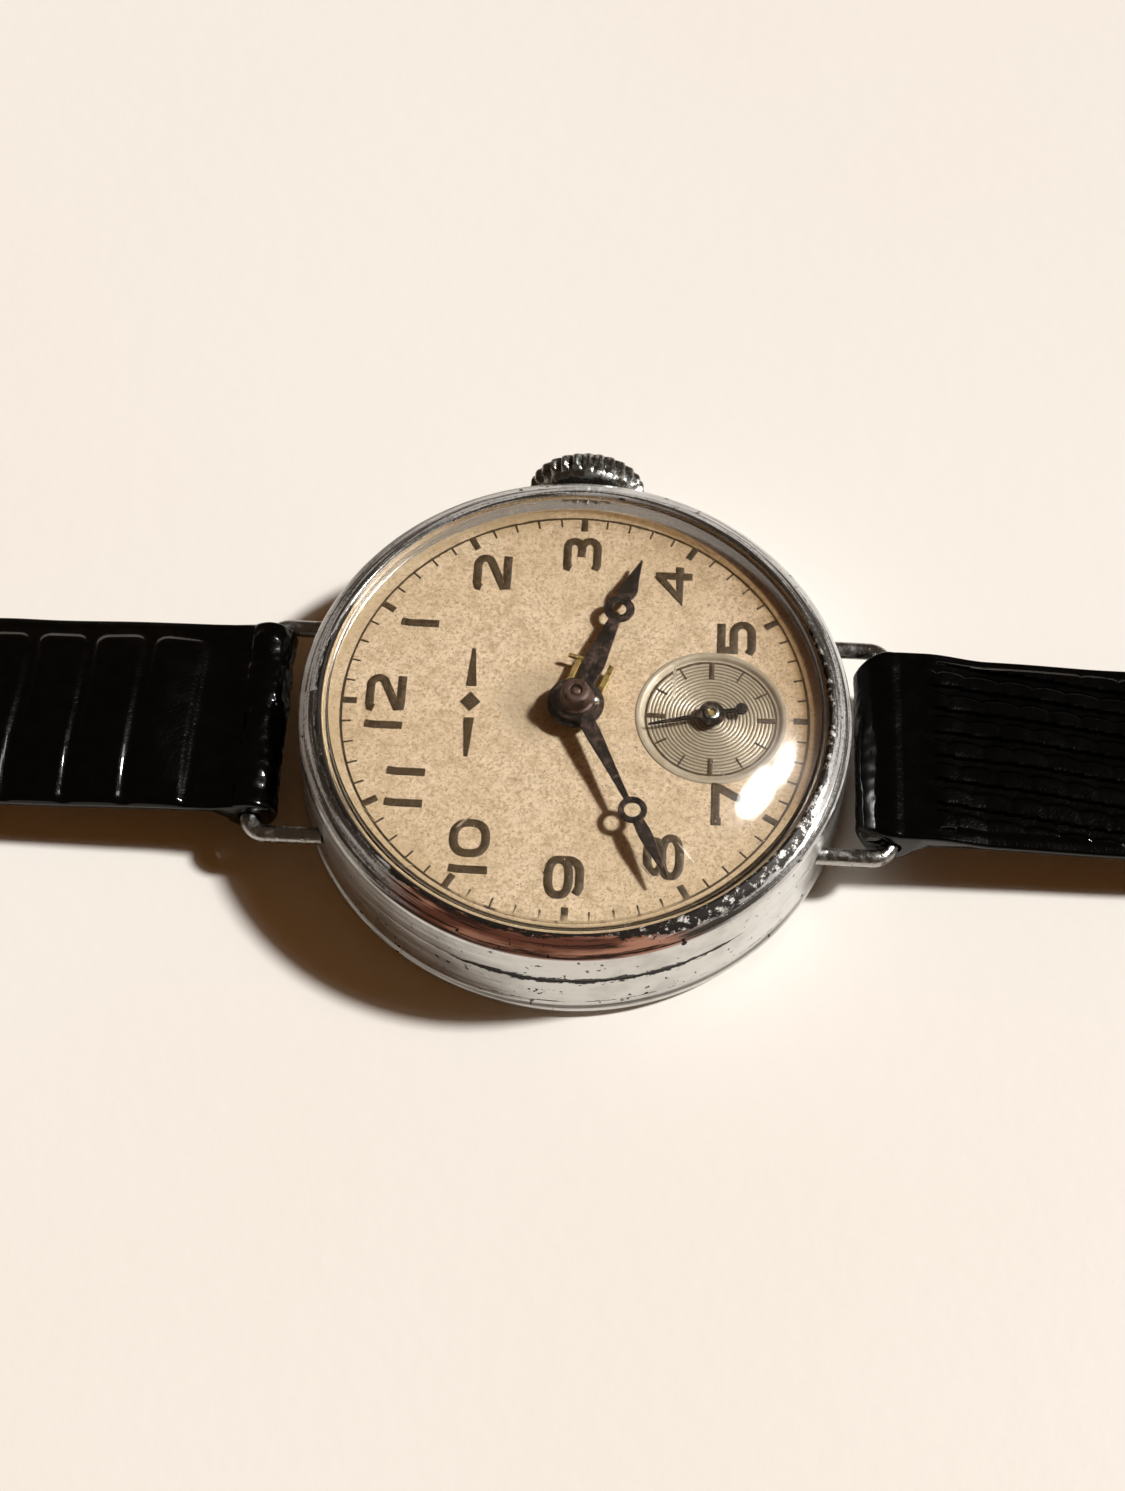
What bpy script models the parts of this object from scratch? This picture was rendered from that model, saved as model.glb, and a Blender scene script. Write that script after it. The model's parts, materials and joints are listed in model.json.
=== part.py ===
"""A small hand-wound wristwatch with a seconds sub-dial, wire lugs and a two-piece leather strap.

The case lies on its back: the origin is the middle of the case back's underside, +Z points out
through the crystal, 12 o'clock is at -X, 6 o'clock at +X, and the crown is at +Y.
Every length below is in millimetres and every angle in degrees; meshes are scaled to metres.
"""

import math

import bmesh
import bpy
from mathutils import Matrix, Vector

MM = 0.001
GAP = 0.03

# Case
CASE_R = 15.05
CASE_SEGMENTS = 36
CASE_INNER_R = 12.6
NECK_R = 14.2
BACK_SEAM_Z = 1.4
BEZEL_SEAM_Z = 4.25
NECK_TOP_Z = 5.65
BEZEL_TOP_Z = 7.0
BEZEL_LIP_R = 13.67
BACK_LIP_R = 15.2
BACK_FLOOR_Z = 0.6
CRYSTAL_TOP_Z = 9.6
CRYSTAL_DROP = 2.45
CRYSTAL_SPAN = 13.5
CRYSTAL_WALL = 0.65

# Dial and hands
DIAL_R = 13.6
DIAL_LOW = 5.7
DIAL_TOP = 6.1
SUBDIAL_X = 7.35
SUBDIAL_R = 4.0
SUBDIAL_DEPTH = 0.12
HOUR_ANGLE = 109.3
MINUTE_ANGLE = 243.4
SECOND_ANGLE = 346.0
SECONDS_HAND_LEVELS = (6.42, 6.56)
HOUR_HAND_LEVELS = (6.85, 7.0)
MINUTE_HAND_LEVELS = (7.2, 7.35)

# Lugs and strap
LUG_X = 17.3
LUG_Z = 3.25
LUG_HALF = 6.55
WIRE_R = 0.5
STRAP_ROLL_R = 1.4
STRAP_CHANNEL_R = 0.62
STRAP_HALF = 5.9
STRAP_END_HALF = 5.0
STRAP_THICK = 2.0
STRAP_THIN = 1.7
STRAP_LUG_LOW = 2.05
STRAP_START = 19.3
STRAP_UPPER_SHARE = 0.6
STRAP_12_LENGTH = 72.0
STRAP_6_LENGTH = 110.0
KEEPER_LIFT = 0.6
HOLE_COUNT = 6
HOLE_STEP = 6.0
HOLE_R = 0.8

# Buckle
BUCKLE_X = LUG_X + STRAP_12_LENGTH
BUCKLE_Z = KEEPER_LIFT + STRAP_THIN / 2
BUCKLE_BAR_R = 0.4
BUCKLE_CHANNEL_R = 0.5
TONGUE_HALF = 0.7

# Movement levels, from the case back to the dial
RATCHET_LOW = 1.8
RATCHET_HIGH = 2.1
BARREL_BRIDGE_LOW = 2.15
BRIDGE_LOW = 1.9
BRIDGE_HIGH = 2.6
PLATE_LOW = 4.2
PLATE_HIGH = 5.15
PLATE_R = 11.6

# Movement plan, seen from the dial
CENTRE = (0.0, 0.0)
BARREL = (-5.066, 2.925)
FOURTH = (SUBDIAL_X, 0.0)
THIRD = (4.06, 1.94)
ESCAPE = (6.15, -3.31)
PALLET = (4.27, -4.80)
BALANCE = (2.15, -6.47)
CROWN_WHEEL = (0.0, 7.0)
MINUTE_WHEEL = (1.44, 2.494)
CLICK = (-9.77, 1.22)
SETTING_LEVER = (2.8, 10.6)
YOKE = (2.9, 7.6)

# Screw places
BARREL_SCREWS = ((-4.6, 9.3), (-6.2, -4.6))
TRAIN_SCREWS = ((9.6, 4.3), (9.6, -4.3))
COCK_SCREW = (-2.9, -8.9)
PALLET_SCREW = (6.25, -7.31)

# Teeth and modules
BARREL_TEETH = 60
CENTRE_PINION_TEETH = 10
CENTRE_TEETH = 64
THIRD_PINION_TEETH = 8
THIRD_TEETH = 60
FOURTH_PINION_TEETH = 8
FOURTH_TEETH = 60
ESCAPE_PINION_TEETH = 6
ESCAPE_TEETH = 15
RATCHET_TEETH = 27
CROWN_WHEEL_TEETH = 18
WINDING_TEETH = 12
CANNON_TEETH = 10
MINUTE_TEETH = 30
MINUTE_PINION_TEETH = 8
HOUR_TEETH = 32
WINDING_MODULE = 0.25


def meshing_module(first, second, first_teeth, second_teeth):
    """The tooth module that makes two wheels at two places just mesh."""
    return 2 * math.dist(first, second) / (first_teeth + second_teeth)


BARREL_MODULE = meshing_module(BARREL, CENTRE, BARREL_TEETH, CENTRE_PINION_TEETH)
CENTRE_MODULE = meshing_module(CENTRE, THIRD, CENTRE_TEETH, THIRD_PINION_TEETH)
THIRD_MODULE = meshing_module(THIRD, FOURTH, THIRD_TEETH, FOURTH_PINION_TEETH)
FOURTH_MODULE = meshing_module(FOURTH, ESCAPE, FOURTH_TEETH, ESCAPE_PINION_TEETH)
RATCHET_MODULE = meshing_module(BARREL, CROWN_WHEEL, RATCHET_TEETH, CROWN_WHEEL_TEETH)
CANNON_MODULE = meshing_module(CENTRE, MINUTE_WHEEL, CANNON_TEETH, MINUTE_TEETH)
HOUR_MODULE = meshing_module(CENTRE, MINUTE_WHEEL, MINUTE_PINION_TEETH, HOUR_TEETH)

# Crown and stem
STEM_Z = 3.9
STEM_R = 0.6
CROWN_R = 3.35
CROWN_LOW_Y = 15.25
CROWN_HIGH_Y = 17.0
CROWN_TEETH = 28

FINISHES = {
    "chrome": ((0.62, 0.62, 0.60), 0.22, 1.0),
    "steel": ((0.50, 0.50, 0.50), 0.30, 1.0),
    "blued": ((0.07, 0.06, 0.05), 0.45, 0.6),
    "brass": ((0.72, 0.55, 0.27), 0.35, 1.0),
    "nickel": ((0.66, 0.63, 0.56), 0.32, 1.0),
    "dial": ((0.76, 0.64, 0.47), 0.55, 0.0),
    "crystal": ((0.93, 0.94, 0.92), 0.05, 0.0),
    "leather": ((0.02, 0.02, 0.02), 0.22, 0.0),
    "lining": ((0.20, 0.12, 0.07), 0.75, 0.0),
}


def clear_scene():
    for thing in list(bpy.data.objects):
        bpy.data.objects.remove(thing, do_unlink=True)


def finish_material(name):
    """The Principled material of one finish, made once."""
    if name in bpy.data.materials:
        return bpy.data.materials[name]
    colour, roughness, metallic = FINISHES[name]
    material = bpy.data.materials.new(name)
    material.use_nodes = True
    shader = material.node_tree.nodes["Principled BSDF"]
    shader.inputs["Base Color"].default_value = (*colour, 1.0)
    shader.inputs["Roughness"].default_value = roughness
    shader.inputs["Metallic"].default_value = metallic
    if name == "crystal":
        shader.inputs["Transmission Weight"].default_value = 0.9
    return material


def piece(name, bm, finish, at=(0.0, 0.0), angle=0.0):
    """Turn a mesh drawn in millimetres about a vertical axis into an object on that axis."""
    bmesh.ops.recalc_face_normals(bm, faces=bm.faces)
    mesh = bpy.data.meshes.new(name)
    bm.to_mesh(mesh)
    bm.free()
    mesh.transform(Matrix.Scale(MM, 4))
    mesh.shade_smooth()
    mesh.set_sharp_from_angle(angle=math.radians(30))
    thing = bpy.data.objects.new(name, mesh)
    thing.location = (at[0] * MM, at[1] * MM, 0.0)
    thing.rotation_euler.z = math.radians(angle)
    thing.data.materials.append(finish_material(finish))
    bpy.context.scene.collection.objects.link(thing)
    return thing


def combine(thing, bm, operation, at=None):
    """Add or cut a hidden helper shape; it sits where the object sits unless told otherwise."""
    helper = piece(f"{thing.name}_helper", bm, "steel")
    helper.location = thing.location if at is None else (at[0] * MM, at[1] * MM, 0.0)
    helper.rotation_euler.z = thing.rotation_euler.z
    helper.hide_render = True
    helper.display_type = "WIRE"
    modifier = thing.modifiers.new(operation.lower(), "BOOLEAN")
    modifier.operation = operation
    modifier.object = helper
    return thing


def add(thing, bm, at=None):
    return combine(thing, bm, "UNION", at)


def cut(thing, bm, at=None):
    return combine(thing, bm, "DIFFERENCE", at)


def circle(radius, count, centre=(0.0, 0.0), phase=0.0):
    """Points of a circle, anticlockwise, the first at the phase angle."""
    step = 2 * math.pi / count
    start = math.radians(phase)
    return [
        (centre[0] + radius * math.cos(start + i * step), centre[1] + radius * math.sin(start + i * step))
        for i in range(count)
    ]


def arc(centre, radius, first, last, count):
    """Points along an arc, both ends included."""
    points = []
    for i in range(count):
        angle = math.radians(first + (last - first) * i / (count - 1))
        points.append((centre[0] + radius * math.cos(angle), centre[1] + radius * math.sin(angle)))
    return points


def tooth_radii(teeth, module):
    pitch = teeth * module / 2
    return pitch + 0.8 * module, pitch - 1.2 * module


def gear(teeth, module, phase):
    """Outline of a toothed wheel with one tooth tip at the phase angle."""
    tip, root = tooth_radii(teeth, module)
    points = []
    for i in range(2 * teeth):
        radius = tip if i % 2 == 0 else root
        angle = math.radians(phase) + i * math.pi / teeth
        points.append((radius * math.cos(angle), radius * math.sin(angle)))
    return points


def windows(count, inner, outer, arm):
    """Openings between the arms of a wheel, as loops that each span one sector."""
    loops = []
    for i in range(count):
        middle = 360 * i / count
        far = 180 / count - math.degrees(arm / 2 / outer)
        near = 180 / count - math.degrees(arm / 2 / inner)
        loop = arc((0, 0), outer, middle - far, middle + far, 4)
        loop += arc((0, 0), inner, middle + near, middle - near, 2)
        loops.append(loop)
    return loops


def prism(loops, low, high):
    """A flat plate: the first loop is its outline, the others are openings through it."""
    bm = bmesh.new()
    levels = []
    for level in (low, high):
        rings = [[bm.verts.new((x, y, level)) for x, y in loop] for loop in loops]
        edges = []
        for ring in rings:
            edges += [bm.edges.new((ring[i - 1], ring[i])) for i in range(len(ring))]
        bmesh.ops.triangle_fill(bm, edges=edges, use_beauty=True)
        levels.append(rings)
    for lower, upper in zip(*levels):
        for i in range(len(lower)):
            bm.faces.new((lower[i - 1], lower[i], upper[i], upper[i - 1]))
    return bm


def turned(profile, segments):
    """A closed outline of (radius, height) points turned about Z; points at radius 0 are poles."""
    bm = bmesh.new()
    rings = []
    for radius, height in profile:
        if radius == 0:
            rings.append([bm.verts.new((0, 0, height))] * segments)
            continue
        rings.append([bm.verts.new((x, y, height)) for x, y in circle(radius, segments)])
    for j in range(len(rings)):
        first = rings[j - 1]
        second = rings[j]
        for i in range(segments):
            corners = [first[i - 1], first[i], second[i], second[i - 1]]
            corners = [v for k, v in enumerate(corners) if v not in corners[:k]]
            if len(corners) > 2:
                bm.faces.new(corners)
    return bm


def toothed_arbor(teeth, module, steps, phase):
    """An arbor with a pinion cut on it: steps are (low, high, radius), radius None for the pinion."""
    tip, root = tooth_radii(teeth, module)
    bm = bmesh.new()
    rings = []
    for low, high, radius in steps:
        for level in (low, high):
            ring = []
            for i in range(2 * teeth):
                reach = radius
                if radius is None:
                    reach = tip if i % 2 == 0 else root
                angle = math.radians(phase) + i * math.pi / teeth
                ring.append(bm.verts.new((reach * math.cos(angle), reach * math.sin(angle), level)))
            rings.append(ring)
    for lower, upper in zip(rings, rings[1:]):
        for i in range(2 * teeth):
            bm.faces.new((lower[i - 1], lower[i], upper[i], upper[i - 1]))
    bm.faces.new(rings[0])
    bm.faces.new(rings[-1])
    return bm


def ribbon(path, half_width, low, high):
    """A strip standing on edge along a flat path."""
    bm = bmesh.new()
    rings = []
    last = len(path) - 1
    for i, point in enumerate(path):
        along = Vector(path[min(i + 1, last)]) - Vector(path[max(i - 1, 0)])
        side = Vector((-along.y, along.x)).normalized() * half_width
        left = Vector(point) + side
        right = Vector(point) - side
        corners = ((left, low), (right, low), (right, high), (left, high))
        rings.append([bm.verts.new((p.x, p.y, z)) for p, z in corners])
    for first, second in zip(rings, rings[1:]):
        for i in range(4):
            bm.faces.new((first[i - 1], first[i], second[i], second[i - 1]))
    bm.faces.new(rings[0])
    bm.faces.new(rings[-1])
    return bm


def spiral(inner, outer, turns, per_turn):
    """Points of a flat spiral from its inner end to its outer end."""
    count = turns * per_turn
    points = []
    for i in range(count + 1):
        radius = inner + (outer - inner) * i / count
        angle = 2 * math.pi * i / per_turn
        points.append((radius * math.cos(angle), radius * math.sin(angle)))
    return points


def wire(path, radius, sides, level):
    """A round wire along a flat path at one height."""
    bm = bmesh.new()
    rings = []
    last = len(path) - 1
    for i, point in enumerate(path):
        along = Vector(path[min(i + 1, last)]) - Vector(path[max(i - 1, 0)])
        side = Vector((-along.y, along.x)).normalized()
        ring = []
        for across, up in circle(radius, sides):
            p = Vector(point) + side * across
            ring.append(bm.verts.new((p.x, p.y, level + up)))
        rings.append(ring)
    for first, second in zip(rings, rings[1:]):
        for i in range(sides):
            bm.faces.new((first[i - 1], first[i], second[i], second[i - 1]))
    bm.faces.new(rings[0])
    bm.faces.new(rings[-1])
    return bm


def lay_along_y(bm, height):
    """Turn a mesh drawn about Z so that its axis runs along +Y at the given height."""
    bm.transform(Matrix.Translation((0, 0, height)) @ Matrix.Rotation(-math.pi / 2, 4, "X"))
    return bm


def pin(radius, low, high, segments=10, centre=(0.0, 0.0)):
    return prism([circle(radius, segments, centre)], low, high)


def facing(start, end):
    """The direction from one place on the plan to another, in degrees."""
    return math.degrees(math.atan2(end[1] - start[1], end[0] - start[0]))


def gap_phase(start, end, teeth):
    """The phase that puts a gap between teeth on the line from start to end."""
    return facing(start, end) + 180 / teeth


# Case

def make_case():
    middle = [
        (CASE_INNER_R, NECK_TOP_Z),
        (NECK_R, NECK_TOP_Z),
        (NECK_R, BEZEL_SEAM_Z),
        (CASE_R - 0.15, BEZEL_SEAM_Z),
        (CASE_R, BEZEL_SEAM_Z - 0.12),
        (CASE_R, BACK_SEAM_Z + 0.12),
        (CASE_R - 0.15, BACK_SEAM_Z),
        (NECK_R, BACK_SEAM_Z),
        (NECK_R, 0.9),
        (CASE_INNER_R, 0.9),
    ]
    case = piece("mid_case", turned(middle, CASE_SEGMENTS), "chrome")
    cut(case, lay_along_y(pin(1.33, 11.0, 17.0, 16), STEM_Z))

    bezel = [
        (BEZEL_LIP_R, BEZEL_TOP_Z),
        (13.95, BEZEL_TOP_Z),
        (14.55, 6.78),
        (14.93, 6.42),
        (CASE_R, 6.0),
        (CASE_R, 4.5),
        (CASE_R - 0.08, BEZEL_SEAM_Z + GAP),
        (NECK_R + GAP, BEZEL_SEAM_Z + GAP),
        (NECK_R + GAP, NECK_TOP_Z + GAP),
        (BEZEL_LIP_R, NECK_TOP_Z + GAP),
    ]
    ring = piece("bezel", turned(bezel, CASE_SEGMENTS), "chrome")
    cut(ring, lay_along_y(pin(1.36, 11.0, 17.0, 16), STEM_Z))

    back = [
        (0, BACK_FLOOR_Z),
        (NECK_R + GAP, BACK_FLOOR_Z),
        (NECK_R + GAP, BACK_SEAM_Z - GAP),
        (CASE_R - 0.05, BACK_SEAM_Z - GAP),
        (CASE_R, 0.95),
        (BACK_LIP_R, 0.75),
        (BACK_LIP_R, 0.55),
        (14.9, 0.25),
        (13.6, 0),
        (0, 0),
    ]
    piece("case_back", turned(back, CASE_SEGMENTS), "chrome")


def dome(radius):
    """Height of the crystal's outer face, flat in the middle and falling away to its edge."""
    return CRYSTAL_TOP_Z - CRYSTAL_DROP * (radius / CRYSTAL_SPAN) ** 4


def make_crystal():
    outer = BEZEL_LIP_R - GAP
    low = DIAL_TOP + 0.05
    profile = [(outer, low), (outer - CRYSTAL_WALL, low), (outer - CRYSTAL_WALL, 6.8)]
    profile += [(r, dome(r) - CRYSTAL_WALL) for r in (12.3, 11.0, 8.0, 4.0, 0)]
    profile += [(r, dome(r)) for r in (0, 4.0, 8.0, 11.0, 12.3, 13.4)]
    profile.append((outer, 7.08))
    piece("crystal", turned(profile, CASE_SEGMENTS), "crystal")


def make_lug_wires():
    bend = 1.0
    for name, side in (("lug_wire_12", -1), ("lug_wire_6", 1)):
        path = [(12.6, -LUG_HALF)]
        path += arc((LUG_X - bend, bend - LUG_HALF), bend, -90, 0, 5)
        path += arc((LUG_X - bend, LUG_HALF - bend), bend, 0, 90, 5)
        path.append((12.6, LUG_HALF))
        path = [(side * x, y) for x, y in path]
        lug = piece(name, wire(path, WIRE_R, 10, LUG_Z), "steel")
        cut(lug, prism([circle(CASE_R + GAP, CASE_SEGMENTS)], 1.0, 6.0), CENTRE)


def make_dial():
    outline = [circle(DIAL_R, 36), circle(0.95, 12), circle(0.45, 10, FOURTH)]
    dial = piece("dial", prism(outline, DIAL_LOW, DIAL_TOP), "dial")
    cut(dial, prism([circle(SUBDIAL_R, 24, FOURTH)], DIAL_TOP - SUBDIAL_DEPTH, DIAL_TOP + 1), CENTRE)
    for x, y in dial_feet():
        add(dial, pin(0.35, PLATE_HIGH - 0.5, DIAL_LOW + 0.2, 8, (x, y)), CENTRE)


def dial_feet():
    """Where the two dial feet enter the main plate."""
    return [(10.4 * math.cos(a), 10.4 * math.sin(a)) for a in (math.radians(48), math.radians(228))]


# Plate, bridges and their screws

def make_plate():
    slot = 1.95
    edge = math.degrees(math.asin(slot / PLATE_R))
    rim = arc((0, 0), PLATE_R, 90 + edge, 450 - edge, 30)
    outline = rim + [(slot, 6.1), (-slot, 6.1)]
    holes = [
        (CENTRE, 0.42, 10),
        (BARREL, 0.56, 10),
        (THIRD, 0.24, 8),
        (FOURTH, 0.24, 8),
        (ESCAPE, 0.24, 8),
        (PALLET, 0.24, 8),
        (BALANCE, 0.24, 8),
        (MINUTE_WHEEL, 0.3, 8),
        (SETTING_LEVER, 0.42, 8),
        (YOKE, 0.42, 8),
    ]
    holes += [(place, 0.42, 8) for place in dial_feet()]
    holes += [(place, 0.36, 8) for place in BARREL_SCREWS + TRAIN_SCREWS + (COCK_SCREW, PALLET_SCREW)]
    loops = [outline] + [circle(radius, count, place) for place, radius, count in holes]
    piece("main_plate", prism(loops, PLATE_LOW, PLATE_HIGH), "nickel")

    ring = piece("movement_ring", prism([circle(12.5, 24), circle(11.75, 24)], 2.4, 5.0), "brass")
    stem_slot = [(-0.9, 10.0), (0.9, 10.0), (0.9, 14.0), (-0.9, 14.0)]
    cut(ring, prism([stem_slot], STEM_Z - 0.75, 6.0))


def bridge(name, outline, low, holes, screws, high=BRIDGE_HIGH, foot_r=0.85):
    """A plate held off the main plate by a foot around each of its screws."""
    loops = [outline] + [circle(radius, count, place) for place, radius, count in holes]
    thing = piece(name, prism(loops, low, high), "nickel")
    middle = (low + high) / 2
    for place in screws:
        add(thing, pin(foot_r, middle, PLATE_LOW - GAP, 12, place), CENTRE)
        cut(thing, pin(0.36, low - 0.5, PLATE_LOW + 0.5, 8, place), CENTRE)
    return thing


def screw(name, place, head_low, head_r, head_high, shank_r, tip):
    """A cheese-head screw driven from the case back side, with its slot."""
    profile = [(0, head_low), (head_r, head_low), (head_r, head_high)]
    profile += [(shank_r, head_high), (shank_r, tip), (0, tip)]
    thing = piece(name, turned(profile, 10), "blued", place)
    half = head_r + 0.2
    slot = [(-half, -0.09), (half, -0.09), (half, 0.09), (-half, 0.09)]
    cut(thing, prism([slot], head_low - 0.2, head_low + 0.1))


def make_bridges():
    barrel_outline = [(1.0, -1.3), (1.5, 2.4), (3.1, 5.2), (3.1, 9.0), (-3.1, 9.0), (-3.8, 10.3), (-5.2, 10.2)]
    barrel_outline += arc(BARREL, 5.4, 102, 235, 9)
    barrel_outline += [(-7.4, -5.0), (-6.2, -5.8), (-5.0, -5.2)]
    holes = [(CENTRE, 0.36, 8), (BARREL, 0.56, 10), (CROWN_WHEEL, 0.36, 8), (CLICK, 0.32, 8)]
    bridge("barrel_bridge", barrel_outline, BARREL_BRIDGE_LOW, holes, BARREL_SCREWS)

    train_outline = [(2.5, 0.9), (5.0, -4.1), (8.6, -5.4), (10.3, -5.1), (10.7, -3.6), (9.4, -0.5), (9.4, 0.5)]
    train_outline += [(10.7, 3.6), (10.3, 5.1), (8.6, 5.4), (6.6, 4.2), (3.4, 3.2)]
    holes = [(THIRD, 0.2, 8), (FOURTH, 0.2, 8), (ESCAPE, 0.2, 8)]
    bridge("train_bridge", train_outline, BRIDGE_LOW, holes, TRAIN_SCREWS)

    toward = facing(COCK_SCREW, BALANCE)
    cock = arc(COCK_SCREW, 1.5, toward + 100, toward + 260, 7)
    cock += arc(BALANCE, 1.0, toward - 90, toward + 90, 7)
    bridge("balance_cock", cock, BRIDGE_LOW, [(BALANCE, 0.2, 8)], (COCK_SCREW,))

    toward = facing(PALLET_SCREW, PALLET)
    pallet = arc(PALLET_SCREW, 0.7, toward + 90, toward + 270, 7)
    pallet += arc(PALLET, 0.5, toward - 90, toward + 90, 7)
    bridge("pallet_cock", pallet, 3.25, [(PALLET, 0.2, 8)], (PALLET_SCREW,), 3.45, 0.55)

    for i, place in enumerate(BARREL_SCREWS):
        screw(f"barrel_bridge_screw_{i + 1}", place, 1.9, 0.7, BARREL_BRIDGE_LOW - GAP, 0.32, 4.9)
    for i, place in enumerate(TRAIN_SCREWS):
        screw(f"train_bridge_screw_{i + 1}", place, 1.6, 0.7, BRIDGE_LOW - GAP, 0.32, 4.9)
    screw("balance_cock_screw", COCK_SCREW, 1.6, 0.7, BRIDGE_LOW - GAP, 0.32, 4.9)
    screw("pallet_cock_screw", PALLET_SCREW, 3.02, 0.5, 3.25 - GAP, 0.32, 4.9)


def make_regulator():
    pointer = facing(COCK_SCREW, BALANCE)
    outline = arc((0, 0), 0.85, pointer + 15, pointer + 345, 12)
    outline += circle(2.2, 1, phase=pointer)
    piece("regulator", prism([outline, circle(0.35, 10)], 1.68, BRIDGE_LOW - GAP), "steel", BALANCE)


# Barrel and winding wheels

def make_barrel():
    drum = [(0.56, 3.65), (4.8, 3.65), (4.8, 2.7), (4.4, 2.7), (4.4, 3.45), (0.56, 3.45)]
    teeth = gear(BARREL_TEETH, BARREL_MODULE, facing(BARREL, CENTRE))
    ring = piece("barrel_drum", turned(drum, 30), "brass", BARREL)
    add(ring, prism([teeth, circle(4.6, 30, phase=5)], 2.76, 3.05))
    cover = [circle(4.35, 30), circle(0.56, 10)]
    piece("barrel_cover", prism(cover, 2.72, 2.88), "brass", BARREL)
    arbor = [(0, 2.4), (0.25, 2.4), (0.25, 1.82), (0.5, 1.82), (0.5, 2.93), (0.95, 2.93), (0.95, 3.42)]
    arbor += [(0.5, 3.42), (0.5, 4.95), (0, 4.95)]
    piece("barrel_arbor", turned(arbor, 12), "steel", BARREL)
    piece("mainspring", ribbon(spiral(1.1, 4.25, 4, 12), 0.09, 2.96, 3.38), "steel", BARREL)


def make_winding_wheels():
    toward = facing(BARREL, CROWN_WHEEL)
    ratchet = [gear(RATCHET_TEETH, RATCHET_MODULE, toward), circle(0.54, 10)]
    piece("ratchet_wheel", prism(ratchet, RATCHET_LOW, RATCHET_HIGH), "steel", BARREL)
    phase = gap_phase(CROWN_WHEEL, BARREL, CROWN_WHEEL_TEETH)
    wheel = [gear(CROWN_WHEEL_TEETH, RATCHET_MODULE, phase), circle(0.42, 10)]
    piece("crown_wheel", prism(wheel, RATCHET_LOW, RATCHET_HIGH), "steel", CROWN_WHEEL)
    screw("ratchet_screw", BARREL, 1.5, 0.85, RATCHET_LOW - GAP, 0.2, 2.35)
    screw("crown_wheel_screw", CROWN_WHEEL, 1.5, 0.85, RATCHET_LOW - GAP, 0.32, 2.58)

    tip = (0.8, 1.0)
    outline = arc((0, 0), 0.55, 130, 330, 8) + [(0.95, 0.3), tip, (0.35, 0.75)]
    click = piece("click", prism([outline], RATCHET_LOW, RATCHET_HIGH), "steel", CLICK)
    add(click, pin(0.28, RATCHET_LOW + 0.1, 2.5, 8))
    path = arc((-8.2, -1.2), 2.35, 236, 132, 9)
    piece("click_spring", ribbon(path, 0.09, RATCHET_LOW, RATCHET_HIGH), "steel")


# Going train

def train_wheel(name, place, teeth, module, low, high, wheel_phase, arbor, finish="brass", arms=4):
    """A crossed-out wheel with its arbor and pinion."""
    root = tooth_radii(teeth, module)[1]
    loops = [gear(teeth, module, wheel_phase)] + windows(arms, 0.3 * root, 0.82 * root, 0.14 * root)
    thing = piece(name, prism(loops, low, high), finish, place)
    return add(thing, arbor)


def make_train():
    arbor = toothed_arbor(
        CENTRE_PINION_TEETH,
        BARREL_MODULE,
        [(2.2, 2.68, 0.3), (2.7, 3.6, None), (3.62, 7.52, 0.3)],
        gap_phase(CENTRE, BARREL, CENTRE_PINION_TEETH),
    )
    phase = facing(CENTRE, THIRD)
    train_wheel("centre_wheel", CENTRE, CENTRE_TEETH, CENTRE_MODULE, 3.85, 4.05, phase, arbor)

    arbor = toothed_arbor(
        THIRD_PINION_TEETH,
        CENTRE_MODULE,
        [(2.0, 3.55, 0.17), (3.6, 4.1, None), (4.12, 5.0, 0.17)],
        gap_phase(THIRD, CENTRE, THIRD_PINION_TEETH),
    )
    phase = facing(THIRD, FOURTH)
    train_wheel("third_wheel", THIRD, THIRD_TEETH, THIRD_MODULE, 3.3, 3.5, phase, arbor)

    arbor = toothed_arbor(
        FOURTH_PINION_TEETH,
        THIRD_MODULE,
        [(2.0, 3.18, 0.17), (3.2, 3.6, None), (3.62, 6.62, 0.17)],
        gap_phase(FOURTH, THIRD, FOURTH_PINION_TEETH),
    )
    phase = facing(FOURTH, ESCAPE)
    train_wheel("fourth_wheel", FOURTH, FOURTH_TEETH, FOURTH_MODULE, 3.85, 4.05, phase, arbor)


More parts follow.
